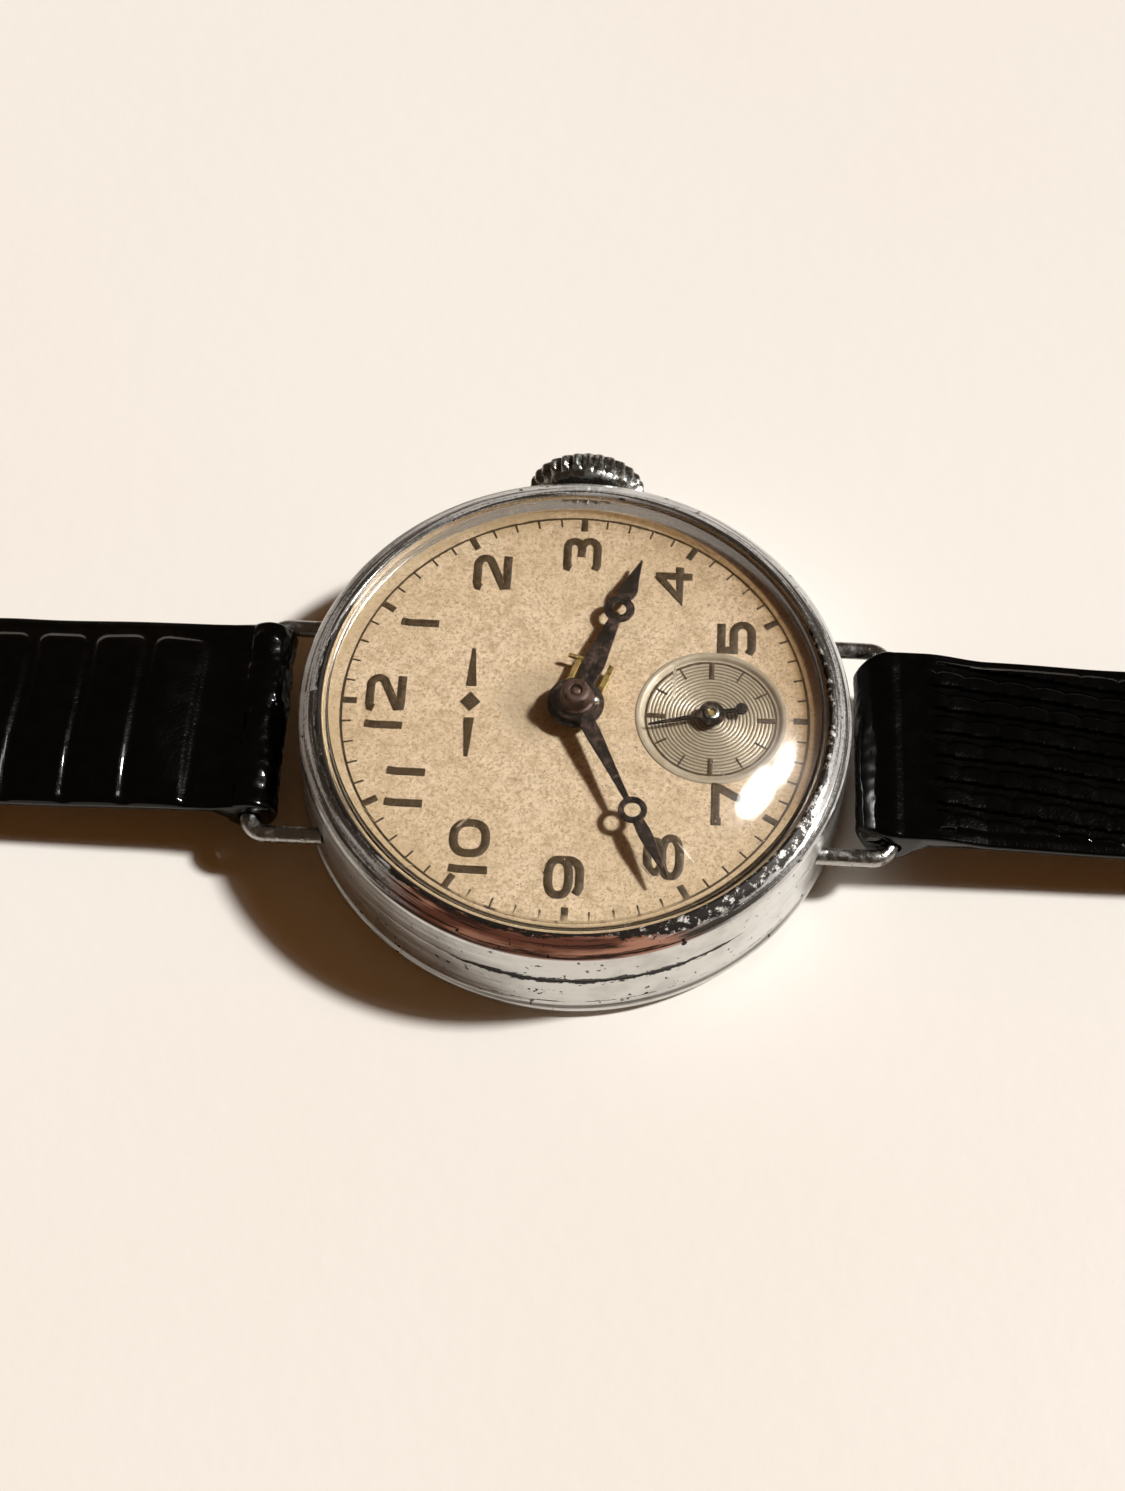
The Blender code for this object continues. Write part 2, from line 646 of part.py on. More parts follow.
def make_escapement():
    toward = facing(ESCAPE, PALLET)
    outline = []
    for i in range(ESCAPE_TEETH):
        start = math.radians(toward + 8 - i * 360 / ESCAPE_TEETH)
        for radius, lag in ((2.0, 0), (1.94, 4), (1.58, 8), (1.52, 20)):
            angle = start - math.radians(lag)
            outline.append((radius * math.cos(angle), radius * math.sin(angle)))
    arbor = toothed_arbor(
        ESCAPE_PINION_TEETH,
        FOURTH_MODULE,
        [(2.0, 3.72, 0.15), (3.75, 4.1, None), (4.12, 5.0, 0.15)],
        gap_phase(ESCAPE, FOURTH, ESCAPE_PINION_TEETH),
    )
    loops = [outline[::-1]] + windows(4, 0.5, 1.3, 0.25)
    wheel = piece("escape_wheel", prism(loops, 3.5, 3.65), "steel", ESCAPE)
    add(wheel, arbor)

    fork = [(-0.42, -0.95), (-0.18, -1.2), (0.35, -0.35), (1.6, -0.14), (1.85, -0.3), (2.35, -0.3), (2.35, -0.16)]
    fork += [(2.0, -0.14), (2.0, 0.14), (2.35, 0.16), (2.35, 0.3), (1.85, 0.3), (1.6, 0.14), (0.35, 0.35)]
    fork += [(-0.18, 1.2), (-0.42, 0.95), (-0.25, 0.0)]
    lever = piece("pallet_fork", prism([fork], 3.5, 3.65), "steel", PALLET, facing(ESCAPE, BALANCE))
    add(lever, pin(0.16, 3.27, 5.0, 8))

    rim = [circle(3.5, 36)] + windows(3, 0.6, 3.1, 0.45)
    balance = piece("balance_wheel", prism(rim, 2.95, 3.15), "brass", BALANCE, facing(BALANCE, PALLET))
    staff = [(0, 1.95), (0.16, 1.95), (0.16, 2.6), (0.3, 2.66), (0.3, 3.72), (0.85, 3.74), (0.85, 3.84)]
    staff += [(0.2, 3.86), (0.16, 5.0), (0, 5.0)]
    add(balance, turned(staff, 12))
    add(balance, pin(0.09, 3.48, 3.8, 6, (0.6, 0)))
    path = spiral(0.5, 2.3, 4, 12)
    piece("hairspring", ribbon(path, 0.03, 2.7, 2.84), "blued", BALANCE)


# Motion work and hands

def make_motion_work():
    bore = circle(0.33, 12)
    teeth = gear(CANNON_TEETH, CANNON_MODULE, facing(CENTRE, MINUTE_WHEEL))
    cannon = piece("cannon_pinion", prism([teeth, bore], 5.2, 5.36), "steel")
    add(cannon, prism([circle(0.52, 12), circle(0.34, 12)], 5.3, 7.45))

    phase = gap_phase(MINUTE_WHEEL, CENTRE, MINUTE_TEETH)
    wheel = [gear(MINUTE_TEETH, CANNON_MODULE, phase)]
    minute = piece("minute_wheel", prism(wheel, 5.2, 5.35), "brass", MINUTE_WHEEL)
    steps = [(4.3, 5.25, 0.25), (5.3, 5.6, None)]
    phase = facing(MINUTE_WHEEL, CENTRE)
    add(minute, toothed_arbor(MINUTE_PINION_TEETH, HOUR_MODULE, steps, phase))

    phase = gap_phase(CENTRE, MINUTE_WHEEL, HOUR_TEETH)
    hour = piece("hour_wheel", prism([gear(HOUR_TEETH, HOUR_MODULE, phase), circle(0.58, 12)], 5.42, 5.56), "brass")
    add(hour, prism([circle(0.8, 12), circle(0.585, 12)], 5.5, 7.02))


def apple_hand(hub_r, bore_r, root_half, neck_half, ring_at, ring_r, hole_r, tip_half, tip):
    """A tapering hand with a pierced ring near its tip, pointing along +X."""
    hub_edge = math.degrees(math.asin(root_half / hub_r))
    ring_edge = math.degrees(math.asin(neck_half / ring_r))
    tip_edge = math.degrees(math.asin(tip_half / ring_r))
    outline = arc((0, 0), hub_r, hub_edge, 360 - hub_edge, 16)
    outline += arc((ring_at, 0), ring_r, 180 + ring_edge, 360 - tip_edge, 9)
    outline += [(tip, -0.06), (tip, 0.06)]
    outline += arc((ring_at, 0), ring_r, tip_edge, 180 - ring_edge, 9)
    return [outline, circle(bore_r, 12), circle(hole_r, 12, (ring_at, 0))]


def make_hands():
    hour = apple_hand(1.55, 0.82, 0.5, 0.42, 6.5, 0.84, 0.38, 0.5, 10.0)
    piece("hour_hand", prism(hour, *HOUR_HAND_LEVELS), "blued", CENTRE, 180 - HOUR_ANGLE)
    minute = apple_hand(1.3, 0.54, 0.45, 0.18, 7.3, 0.77, 0.41, 0.36, 11.6)
    piece("minute_hand", prism(minute, *MINUTE_HAND_LEVELS), "blued", CENTRE, 180 - MINUTE_ANGLE)
    hub_edge = math.degrees(math.asin(0.12 / 0.75))
    ball_edge = math.degrees(math.asin(0.1 / 0.33))
    second = arc((0, 0), 0.75, hub_edge, 180 - hub_edge, 6)
    second += arc((-1.65, 0), 0.33, ball_edge, 360 - ball_edge, 8)
    second += arc((0, 0), 0.75, 180 + hub_edge, 360 - hub_edge, 6)
    second += [(3.5, -0.1), (3.5, 0.1)]
    loops = [second, circle(0.19, 10)]
    piece("seconds_hand", prism(loops, *SECONDS_HAND_LEVELS), "blued", FOURTH, 180 - SECOND_ANGLE)


# Crown and keyless work

def make_crown():
    crown = gear(CROWN_TEETH, 2 * CROWN_R / (CROWN_TEETH + 1.6), 0)
    thing = piece("crown", lay_along_y(prism([crown], CROWN_LOW_Y, CROWN_HIGH_Y), STEM_Z), "chrome")
    cut(thing, lay_along_y(pin(STEM_R + GAP, CROWN_LOW_Y - 1, 16.4, 12), STEM_Z))
    tube = prism([circle(1.3, 16), circle(0.7, 16)], 12.8, 15.15)
    piece("crown_tube", lay_along_y(tube, STEM_Z), "brass")
    stem = [(0, 6.0), (0.45, 6.0), (0.45, 9.2), (STEM_R, 9.3), (STEM_R, 10.95), (0.35, 10.97)]
    stem += [(0.35, 11.45), (STEM_R, 11.47), (STEM_R, 16.35), (0, 16.35)]
    piece("winding_stem", lay_along_y(turned(stem, 12), STEM_Z), "steel")


def make_keyless_work():
    winding = [gear(WINDING_TEETH, WINDING_MODULE, 90), circle(STEM_R + 0.06, 12)]
    piece("winding_pinion", lay_along_y(prism(winding, 9.25, 10.35), STEM_Z), "steel")
    clutch = [(0.51, 7.3), (1.2, 7.3), (1.2, 8.05), (0.85, 8.05), (0.85, 8.55), (1.2, 8.55), (1.2, 9.2)]
    clutch += [(0.51, 9.2)]
    piece("sliding_pinion", lay_along_y(turned(clutch, 14), STEM_Z), "steel")
    lever("setting_lever", SETTING_LEVER, (0.0, 11.21), 4.27)
    lever("yoke", YOKE, (0.0, 8.3), 4.78)


def lever(name, place, finger, finger_low):
    """A flat lever under the dial, with a pivot and a finger that both point to the case back."""
    toward = facing(place, finger)
    reach = math.dist(place, finger)
    outline = arc((0, 0), 0.55, 60, 300, 9) + arc((reach, 0), 0.3, -90, 90, 6)
    thing = piece(name, prism([outline], 5.2, 5.42), "steel", place, toward)
    add(thing, pin(0.36, 4.4, 5.3, 8))
    add(thing, pin(0.18, finger_low, 5.3, 8, (reach, 0)))


# Strap

def ease(x, start, end):
    """A smooth step from 0 at start to 1 at end."""
    t = min(max((x - start) / (end - start), 0.0), 1.0)
    return t * t * (3 - 2 * t)


def strap_thickness(x):
    return STRAP_THICK + (STRAP_THIN - STRAP_THICK) * ease(x, 25, 70)


def strap_low(x, rest):
    """Height of the strap's underside: level past the lugs, then down to where it lies."""
    return STRAP_LUG_LOW + (rest - STRAP_LUG_LOW) * ease(x, 30, 52)


def strap_half(x, end, pointed):
    half = STRAP_HALF + (STRAP_END_HALF - STRAP_HALF) * ease(x, 31, 75)
    if not pointed:
        return half
    into = min(max((x - (end - 6)) / 6, 0.0), 1.0)
    return half * (1 - 0.85 * into ** 2.2)


def strap_stations(start, end, pointed):
    stations = [start + 0.4, 22.0, 26.0, 30.0, 34.0, 38.0, 42.0, 46.0, 50.0, 54.0, 60.0, 68.0, 76.0]
    stations = [x for x in stations if x < end - 3]
    if pointed:
        stations += [88.0, end - 12, end - 6, end - 4, end - 2.2, end - 1]
    return stations + [end]


def extrude_across(loops, side, half_at):
    """Loops of (distance, height) become a strap whose half width depends on the distance."""
    bm = prism(loops, -1, 1)
    for vert in bm.verts:
        x, z, across = vert.co
        vert.co = (side * x, across * half_at(x), z)
    return bm


def make_strap(hour, side, length, rest):
    pointed = hour == 6
    end = LUG_X + length

    def top(x):
        return strap_low(x, rest) + strap_thickness(x)

    def split(x):
        return top(x) - STRAP_UPPER_SHARE * strap_thickness(x)

    def half_at(x):
        return strap_half(x, end, pointed)

    last = end if pointed else end - 2.2
    stations = strap_stations(STRAP_START, last, pointed)
    outline = arc((LUG_X, LUG_Z), STRAP_ROLL_R, -17, -325, 16)
    outline += [(x, top(x)) for x in stations]
    channels = [circle(STRAP_CHANNEL_R, 12, (LUG_X, LUG_Z))]
    if not pointed:
        outline += arc((BUCKLE_X, BUCKLE_Z), 1.3, 135, -135, 12)
        channels.append(circle(BUCKLE_CHANNEL_R, 10, (BUCKLE_X, BUCKLE_Z)))
    outline += [(x, split(x)) for x in reversed(stations)]
    upper = piece(f"strap_{hour}_upper", extrude_across([outline] + channels, side, half_at), "leather")

    stations = [STRAP_START] + stations[1:-1] + [last - 0.3]
    outline = [(x, split(x) - GAP) for x in stations]
    outline += [(x, strap_low(x, rest)) for x in reversed(stations)]
    lining = piece(f"strap_{hour}_lining", extrude_across([outline], side, half_at), "lining")
    return upper, lining


def make_straps():
    upper, lining = make_strap(6, 1, STRAP_6_LENGTH, 0.0)
    for strap in (upper, lining):
        first = LUG_X + STRAP_6_LENGTH - 22
        for i in range(HOLE_COUNT):
            cut(strap, pin(HOLE_R, -1, 5, 8, (first - i * HOLE_STEP, 0)))

    upper, lining = make_strap(12, -1, STRAP_12_LENGTH, KEEPER_LIFT)
    slot = [(-BUCKLE_X - 2, -1), (-BUCKLE_X + 1.9, -1), (-BUCKLE_X + 1.9, 1), (-BUCKLE_X - 2, 1)]
    cut(upper, prism([slot], -1, 4))


def rounded_box(half_across, low, high, corner):
    """A rounded rectangle of (across, height) points."""
    points = arc((half_across - corner, high - corner), corner, 0, 90, 4)
    points += arc((corner - half_across, high - corner), corner, 90, 180, 4)
    points += arc((corner - half_across, low + corner), corner, 180, 270, 4)
    points += arc((half_across - corner, low + corner), corner, 270, 360, 4)
    return points


def make_keepers():
    for name, centre in (("keeper_fixed", BUCKLE_X - 6.5), ("keeper_free", BUCKLE_X - 18)):
        outer = rounded_box(6.1, 0.04, 5.2, 0.7)
        inner = rounded_box(5.55, KEEPER_LIFT - 0.06, 4.65, 0.3)
        bm = prism([outer, inner], -2, 2)
        bm.transform(Matrix(((0, 0, 1, -centre), (1, 0, 0, 0), (0, 1, 0, 0), (0, 0, 0, 1))))
        piece(name, bm, "leather")


# Buckle

def make_buckle():
    x = BUCKLE_X
    outline = [(x - 1, -6.6), (x + 7.2, -6.6), (x + 8.4, -6.1), (x + 8.9, -4.9), (x + 8.9, 4.9), (x + 8.4, 6.1)]
    outline += [(x + 7.2, 6.6), (x - 1, 6.6), (x - 1, 5.3), (x + 6.6, 5.3), (x + 7.2, 4.7), (x + 7.2, -4.7)]
    outline += [(x + 6.6, -5.3), (x - 1, -5.3)]
    outline = [(-px, py) for px, py in outline]
    frame = piece("buckle_frame", prism([outline], BUCKLE_Z - 0.7, BUCKLE_Z + 0.7), "chrome")
    hole = lay_along_y(pin(BUCKLE_BAR_R + GAP, -8, 8, 10), BUCKLE_Z)
    cut(frame, hole, (-x, 0))
    bar = lay_along_y(pin(BUCKLE_BAR_R, -6.5, 6.5, 10), BUCKLE_Z)
    thing = piece("buckle_bar", bar, "steel")
    thing.location.x = -x * MM

    eye = 0.92
    outline = arc((0, BUCKLE_Z), eye, -40, -290, 12)
    outline += [(6.5, BUCKLE_Z + 1.5), (8.9, BUCKLE_Z + 1.3), (8.9, BUCKLE_Z + 0.95), (6.8, BUCKLE_Z + 0.75)]
    bm = prism([outline, circle(BUCKLE_BAR_R + 0.05, 10, (0, BUCKLE_Z))], -TONGUE_HALF, TONGUE_HALF)
    for vert in bm.verts:
        px, pz, py = vert.co
        vert.co = (-px, py, pz)
    thing = piece("buckle_tongue", bm, "chrome")
    thing.location.x = -x * MM


clear_scene()
make_case()
make_crystal()
make_lug_wires()
make_dial()
make_plate()
make_bridges()
make_regulator()
make_barrel()
make_winding_wheels()
make_train()
make_escapement()
make_motion_work()
make_hands()
make_crown()
make_keyless_work()
make_straps()
make_keepers()
make_buckle()
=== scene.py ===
"""The looks of a small hand-wound wristwatch: worn chrome, an aged dial and a black patent leather strap.

The row frame has its origin under the middle of the case back, +Z out through the crystal, 6 o'clock at +X
and the crown at +Y. Lengths in this file are in millimetres and angles in degrees; add_piece turns
millimetres into metres.
"""

import json
import math
from collections import namedtuple

import bmesh
import bpy
import numpy as np
from mathutils import Matrix, Vector, noise


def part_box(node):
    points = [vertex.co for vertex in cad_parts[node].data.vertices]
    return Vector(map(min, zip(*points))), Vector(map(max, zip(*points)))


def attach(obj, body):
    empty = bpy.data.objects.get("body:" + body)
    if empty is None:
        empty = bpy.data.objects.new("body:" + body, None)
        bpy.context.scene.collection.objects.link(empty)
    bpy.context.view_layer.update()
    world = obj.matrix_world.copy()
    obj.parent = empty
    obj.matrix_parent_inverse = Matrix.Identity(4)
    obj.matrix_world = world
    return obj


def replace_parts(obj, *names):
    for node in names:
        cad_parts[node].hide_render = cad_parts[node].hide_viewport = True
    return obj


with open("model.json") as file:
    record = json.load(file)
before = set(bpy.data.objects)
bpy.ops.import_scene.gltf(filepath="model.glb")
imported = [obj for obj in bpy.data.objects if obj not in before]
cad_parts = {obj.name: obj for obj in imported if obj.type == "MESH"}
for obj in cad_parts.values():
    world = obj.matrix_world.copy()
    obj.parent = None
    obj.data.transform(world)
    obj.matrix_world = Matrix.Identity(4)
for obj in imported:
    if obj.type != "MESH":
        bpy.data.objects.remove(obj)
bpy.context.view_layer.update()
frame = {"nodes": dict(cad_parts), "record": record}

MM = 0.001

# Camera: where it stands and what it looks at, then its turn about the line of sight
CAMERA_AT = (0.96, -66.1, 117.4)
CAMERA_TO = (-0.58, -2.14, 6.1)
CAMERA_ROLL = 1.59
CAMERA_LENS = 57.68
CAMERA_FILM = 36.0

# Where the light comes from: degrees round from 6 o'clock and above the table
LIGHT_AZIMUTH = 11.5
LIGHT_HEIGHT = 47.5


def low_high(node):
    """Lowest and highest corner of a CAD node, in millimetres."""
    low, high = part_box(node)
    return low / MM, high / MM


# Driving sizes, read from the frame
CASE_R = low_high("mid_case")[1].x
BEZEL_LOW = low_high("bezel")[0].z
BEZEL_TOP = low_high("bezel")[1].z
BACK_R = low_high("case_back")[1].x
CRYSTAL_R = low_high("crystal")[1].x
CRYSTAL_LOW = low_high("crystal")[0].z
CRYSTAL_TOP = low_high("crystal")[1].z
DIAL_R = low_high("dial")[1].x
DIAL_TOP = low_high("dial")[1].z
DIAL_FEET_LOW = low_high("dial")[0].z
HOUR_LOW, HOUR_HIGH = (corner.z for corner in low_high("hour_hand"))
MINUTE_LOW, MINUTE_HIGH = (corner.z for corner in low_high("minute_hand"))
SECONDS_LOW, SECONDS_HIGH = (corner.z for corner in low_high("seconds_hand"))
CROWN_LOW_Y = low_high("crown")[0].y
CROWN_HIGH_Y = low_high("crown")[1].y
CROWN_R = low_high("crown")[1].x
WIRE_R = (low_high("lug_wire_6")[1].z - low_high("lug_wire_6")[0].z) / 2
LUG_Z = low_high("lug_wire_6")[0].z + WIRE_R
LUG_X = low_high("lug_wire_6")[1].x - WIRE_R
LUG_HALF = low_high("lug_wire_6")[1].y - WIRE_R
STRAP_HALF = low_high("strap_6_upper")[1].y
STRAP_6_END = low_high("strap_6_upper")[1].x
BAR_LOW, BAR_HIGH = low_high("buckle_bar")
BUCKLE_X = -(BAR_LOW.x + BAR_HIGH.x) / 2
BUCKLE_Z = (BAR_LOW.z + BAR_HIGH.z) / 2
BAR_R = (BAR_HIGH.z - BAR_LOW.z) / 2

# Dial and sub-dial
DIAL_THICK = 0.4
SUBDIAL_X = 7.35
SUBDIAL_R = 4.0
SUBDIAL_SINK = 0.12         # its floor below the dial
SUBDIAL_GROOVE = 0.2        # from one turned groove to the next
GROOVES_FROM = 0.62
GROOVES_TO = 3.35

# Case
CRYSTAL_DROP = 2.45         # the dome's fall from its middle to radius 13.5
SHOULDER_Z = 7.06           # where the dome meets the crystal's wall
BEZEL_LIP = CRYSTAL_R + 0.03
SEAM_Z = BEZEL_LOW - 0.25   # between bezel and middle
BACK_SEAM_Z = 1.40          # between middle and back
SEAT_Z = 5.65               # the middle's upper face, under the bezel
NECK_R = 14.23              # inside the bezel's skirt and the back's rim
RIM_R = 14.2                # the middle's rims, which they fit over
BORE_R = 12.6
TUBE_HOLE_R = 1.33
SEAM_GAP = 0.03
LATHE_SEGMENTS = 288
CROWN_Z = (low_high("crown")[0].z + low_high("crown")[1].z) / 2

# Where marks lie round the case, in degrees from 6 o'clock
FRONT_BAND_AT = -96
OPEN_SEAM_AT = -83
CRUST_AT = -51.57

# Hands: clock angles they show at rest
HOUR_ANGLE = 109.3
MINUTE_ANGLE = 243.4
SECOND_ANGLE = 346.0

# Each numeral: its digit, the place of its middle and its width
NUMERALS = (
    ("1", -10.26, -1.44, 1.0),
    ("2", -10.26, 0.54, 1.12),
    ("1", -8.77, 5.13, 1.0),
    ("2", -5.00, 8.67, 1.16),
    ("3", -0.04, 10.16, 1.12),
    ("4", 5.09, 8.52, 1.07),
    ("5", 8.66, 5.09, 1.07),
    ("7", 8.49, -5.24, 1.12),
    ("8", 5.00, -8.58, 1.20),
    ("9", -0.14, -10.02, 1.18),
    ("1", -5.15, -9.86, 1.0),
    ("0", -5.15, -8.02, 1.12),
    ("1", -8.81, -6.13, 1.0),
    ("1", -8.81, -4.24, 1.0),
)

# Strap. Distances along it are from the middle of the case.
ROLL_R = 1.4                # outside of the leather round the lug wire
CHANNEL_R = 0.62            # the hole in it for the wire
CASE_SIDE_REACH = 1.32      # how far the 6 o'clock roll bulges towards the case
EDGE_THICK = 1.3
EDGE_ROUND = 0.3
STRAP_END_HALF = 5.0        # half its width where it has narrowed
UPPER_SHARE = 0.6           # the upper's share of its thickness
STRAP_LIFT = 2.45           # its underside near the case
KEEPER_LIFT = 0.6           # its underside at the keepers, which pass below it
SEWN_AT = 19.3              # where upper and lining first meet
STRAIGHT_AT = 34            # the pressed scales are drawn coarser from here
TURN_BACK = 2.2             # the leather turned back round the buckle bar
TIP_TO_HOLES = 22
HOLE_PITCH = 6
HOLE_R = 0.8

# One half of the strap: its hour, the sign of its side, how far it goes, the height it comes to rest at,
# whether it ends in a point, its pressed scales, how high it is padded and the columns in half its width
Half = namedtuple("Half", "hour side end rest pointed scales pad columns")


# Outlines

def ring_points(radius, count, centre=(0.0, 0.0)):
    turns = [2 * math.pi / count * i for i in range(count)]
    return [(centre[0] + radius * math.cos(a), centre[1] + radius * math.sin(a)) for a in turns]


def offset(x, y, steps):
    """Outline points given as steps from one place."""
    return [(x + dx, y + dy) for dx, dy in steps]


def squarish(half_width, half_height, powers, count, centre=(0.0, 0.0)):
    """A closed oval; powers below 1 fill out its corners sideways and upwards."""
    points = []
    for i in range(count):
        c, s = math.cos(2 * math.pi * i / count), math.sin(2 * math.pi * i / count)
        points.append((centre[0] + half_width * math.copysign(abs(c) ** powers[0], c),
                       centre[1] + half_height * math.copysign(abs(s) ** powers[1], s)))
    return points


def arc(centre, radius, first, last, count):
    """Points along an arc, both ends included."""
    angles = np.radians(np.linspace(first, last, count))
    return [(centre[0] + radius * math.cos(a), centre[1] + radius * math.sin(a)) for a in angles]


def soften(points, radius, steps=5):
    """Round every corner of a closed outline; points on the axis stay sharp."""
    result = []
    count = len(points)
    for i, point in enumerate(points):
        here = Vector(point)
        before = Vector(points[i - 1]) - here
        after = Vector(points[(i + 1) % count]) - here
        reach = min(radius, 0.45 * before.length, 0.45 * after.length)
        if here.x == 0 or reach < 1e-4:
            result.append(point)
            continue
        start = here + before.normalized() * reach
        end = here + after.normalized() * reach
        for k in range(steps + 1):
            t = k / steps
            p = start * (1 - t) ** 2 + here * 2 * t * (1 - t) + end * t ** 2
            result.append((p.x, p.y))
    return result


def ease(x, start, end):
    """A smooth step from 0 at start to 1 at end, for numbers and arrays."""
    t = np.clip((x - start) / (end - start), 0.0, 1.0)
    return t * t * (3 - 2 * t)


# Meshes

def solid_mesh(name, verts, faces):
    """A mesh from points in millimetres, with its faces pointing out."""
    mesh = bpy.data.meshes.new(name)
    mesh.from_pydata((np.asarray(verts, float) * MM).tolist(), [], faces)
    mesh.validate()
    bm = bmesh.new()
    bm.from_mesh(mesh)
    bmesh.ops.recalc_face_normals(bm, faces=bm.faces)
    bm.to_mesh(mesh)
    bm.free()
    return mesh


def shade(mesh, sharp):
    """Smooth shading, with edges sharper than an angle kept."""
    mesh.shade_smooth()
    mesh.set_sharp_from_angle(angle=math.radians(sharp))


def add_piece(name, verts, faces, material, body, slot, sharp=40):
    """A new visible piece: its points are in millimetres in the row frame, and it rides on a body."""
    thing = bpy.data.objects.new(name, solid_mesh(name, verts, faces))
    shade(thing.data, sharp)
    thing.data.materials.append(material)
    bpy.context.scene.collection.objects.link(thing)
    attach(thing, body)
    return thing


def grid_faces(rows, columns, start=0, wrap_rows=False, wrap_columns=False):
    """Quads over a grid of points stored row by row."""
    faces = []
    for i in range(rows if wrap_rows else rows - 1):
        first = start + i * columns
        second = start + ((i + 1) % rows) * columns
        for j in range(columns if wrap_columns else columns - 1):
            k = (j + 1) % columns
            faces.append((first + j, first + k, second + k, second + j))
    return faces


def lathe(profile, segments=LATHE_SEGMENTS, centre=(0.0, 0.0)):
    """A closed (radius, height) outline turned about a vertical axis."""
    verts = []
    rings = []
    for radius, height in profile:
        if radius == 0:
            rings.append([len(verts)] * segments)
            verts.append((centre[0], centre[1], height))
            continue
        rings.append(list(range(len(verts), len(verts) + segments)))
        verts += [(x, y, height) for x, y in ring_points(radius, segments, centre)]
    faces = []
    for first, second in zip(rings, rings[1:] + rings[:1]):
        for j in range(segments):
            k = (j + 1) % segments
            corners = list(dict.fromkeys((first[j], first[k], second[k], second[j])))
            if len(corners) > 2:
                faces.append(tuple(corners))
    return verts, faces


def sweep(path, section, normal, scale=None):
    """A closed section of (side, up) points carried along a flat open path; ends are capped."""
    count = len(path)
    up = Vector(normal)
    verts = []
    for i, point in enumerate(path):
        along = (Vector(path[min(i + 1, count - 1)]) - Vector(path[max(i - 1, 0)])).normalized()
        side = along.cross(up)
        size = 1.0 if scale is None else scale(i / (count - 1))
        verts += [Vector(point) + side * (a * size) + up * (b * size) for a, b in section]
    faces = grid_faces(count, len(section), wrap_columns=True)
    faces.append(tuple(range(len(section))))
    faces.append(tuple(range((count - 1) * len(section), count * len(section))))
    return [tuple(v) for v in verts], faces


def taken(bm):
    """The points and faces of a bmesh, which is freed."""
    bm.verts.index_update()
    verts = [tuple(v.co) for v in bm.verts]
    faces = [tuple(v.index for v in f.verts) for f in bm.faces]
    bm.free()
    return verts, faces


def prism(loops, low, high):
    """A flat plate: the first loop is its outline, the others are openings through it."""
    bm = bmesh.new()
    levels = []
    for level in (low, high):
        rings = [[bm.verts.new((x, y, level)) for x, y in loop] for loop in loops]
        edges = []
        for ring in rings:
            edges += [bm.edges.new((ring[i - 1], ring[i])) for i in range(len(ring))]
        bmesh.ops.triangle_fill(bm, edges=edges, use_beauty=True)
        levels.append(rings)
    for lower, upper in zip(*levels):
        for i in range(len(lower)):
            bm.faces.new((lower[i - 1], lower[i], upper[i], upper[i - 1]))
    return taken(bm)


def merge(shapes):
    """Several (verts, faces) shapes as one."""
    verts = []
    faces = []
    for some_verts, some_faces in shapes:
        start = len(verts)
        verts += list(some_verts)
        faces += [tuple(start + k for k in face) for face in some_faces]
    return verts, faces


def turned_about(shape, centre, angle):
    """Turn a shape drawn along +X about the vertical and put it at a place on the plan."""
    verts, faces = shape
    c = math.cos(math.radians(angle))
    s = math.sin(math.radians(angle))
    return [(c * x - s * y + centre[0], s * x + c * y + centre[1], z) for x, y, z in verts], faces


def laid_along_y(shape):
    """Turn a shape drawn about +Z so that its axis is the crown's, along +Y."""
    verts, faces = shape
    return [(x, z, CROWN_Z - y) for x, y, z in verts], faces


def bevel(thing, width, segments=2, angle=50):
    """Soften the edges of a plate-like piece."""
    modifier = thing.modifiers.new("bevel", "BEVEL")
    modifier.width = width * MM
    modifier.segments = segments
    modifier.limit_method = "ANGLE"
    modifier.angle_limit = math.radians(angle)
    modifier.harden_normals = False
    return thing


def carve(thing, shape):
    """Cut a closed shape out of a piece, and keep only the finished mesh."""
    cutter = bpy.data.objects.new("cutter", solid_mesh("cutter", *shape))
    bpy.context.scene.collection.objects.link(cutter)
    modifier = thing.modifiers.new("cut", "BOOLEAN")
    modifier.operation = "DIFFERENCE"
    modifier.object = cutter
    bpy.context.view_layer.update()
    done = thing.evaluated_get(bpy.context.evaluated_depsgraph_get())
    finished = bpy.data.meshes.new_from_object(done)
    thing.modifiers.clear()
    thing.data = finished
    shade(finished, 40)
    bpy.data.objects.remove(cutter, do_unlink=True)
    return thing


# Materials

class Field:
    """The output of a node. Arithmetic on it adds the nodes that work it out."""

    def __init__(self, look, socket):
        self.look = look
        self.socket = socket

    def __add__(self, other):
        return self.look.math("ADD", self, other)

    def __sub__(self, other):
        return self.look.math("SUBTRACT", self, other)

    def __rsub__(self, other):
        return self.look.math("SUBTRACT", other, self)

    def __mul__(self, other):
        return self.look.math("MULTIPLY", self, other)

    def __truediv__(self, other):
        return self.look.math("DIVIDE", self, other)

    def __abs__(self):
        return self.look.math("ABSOLUTE", self)


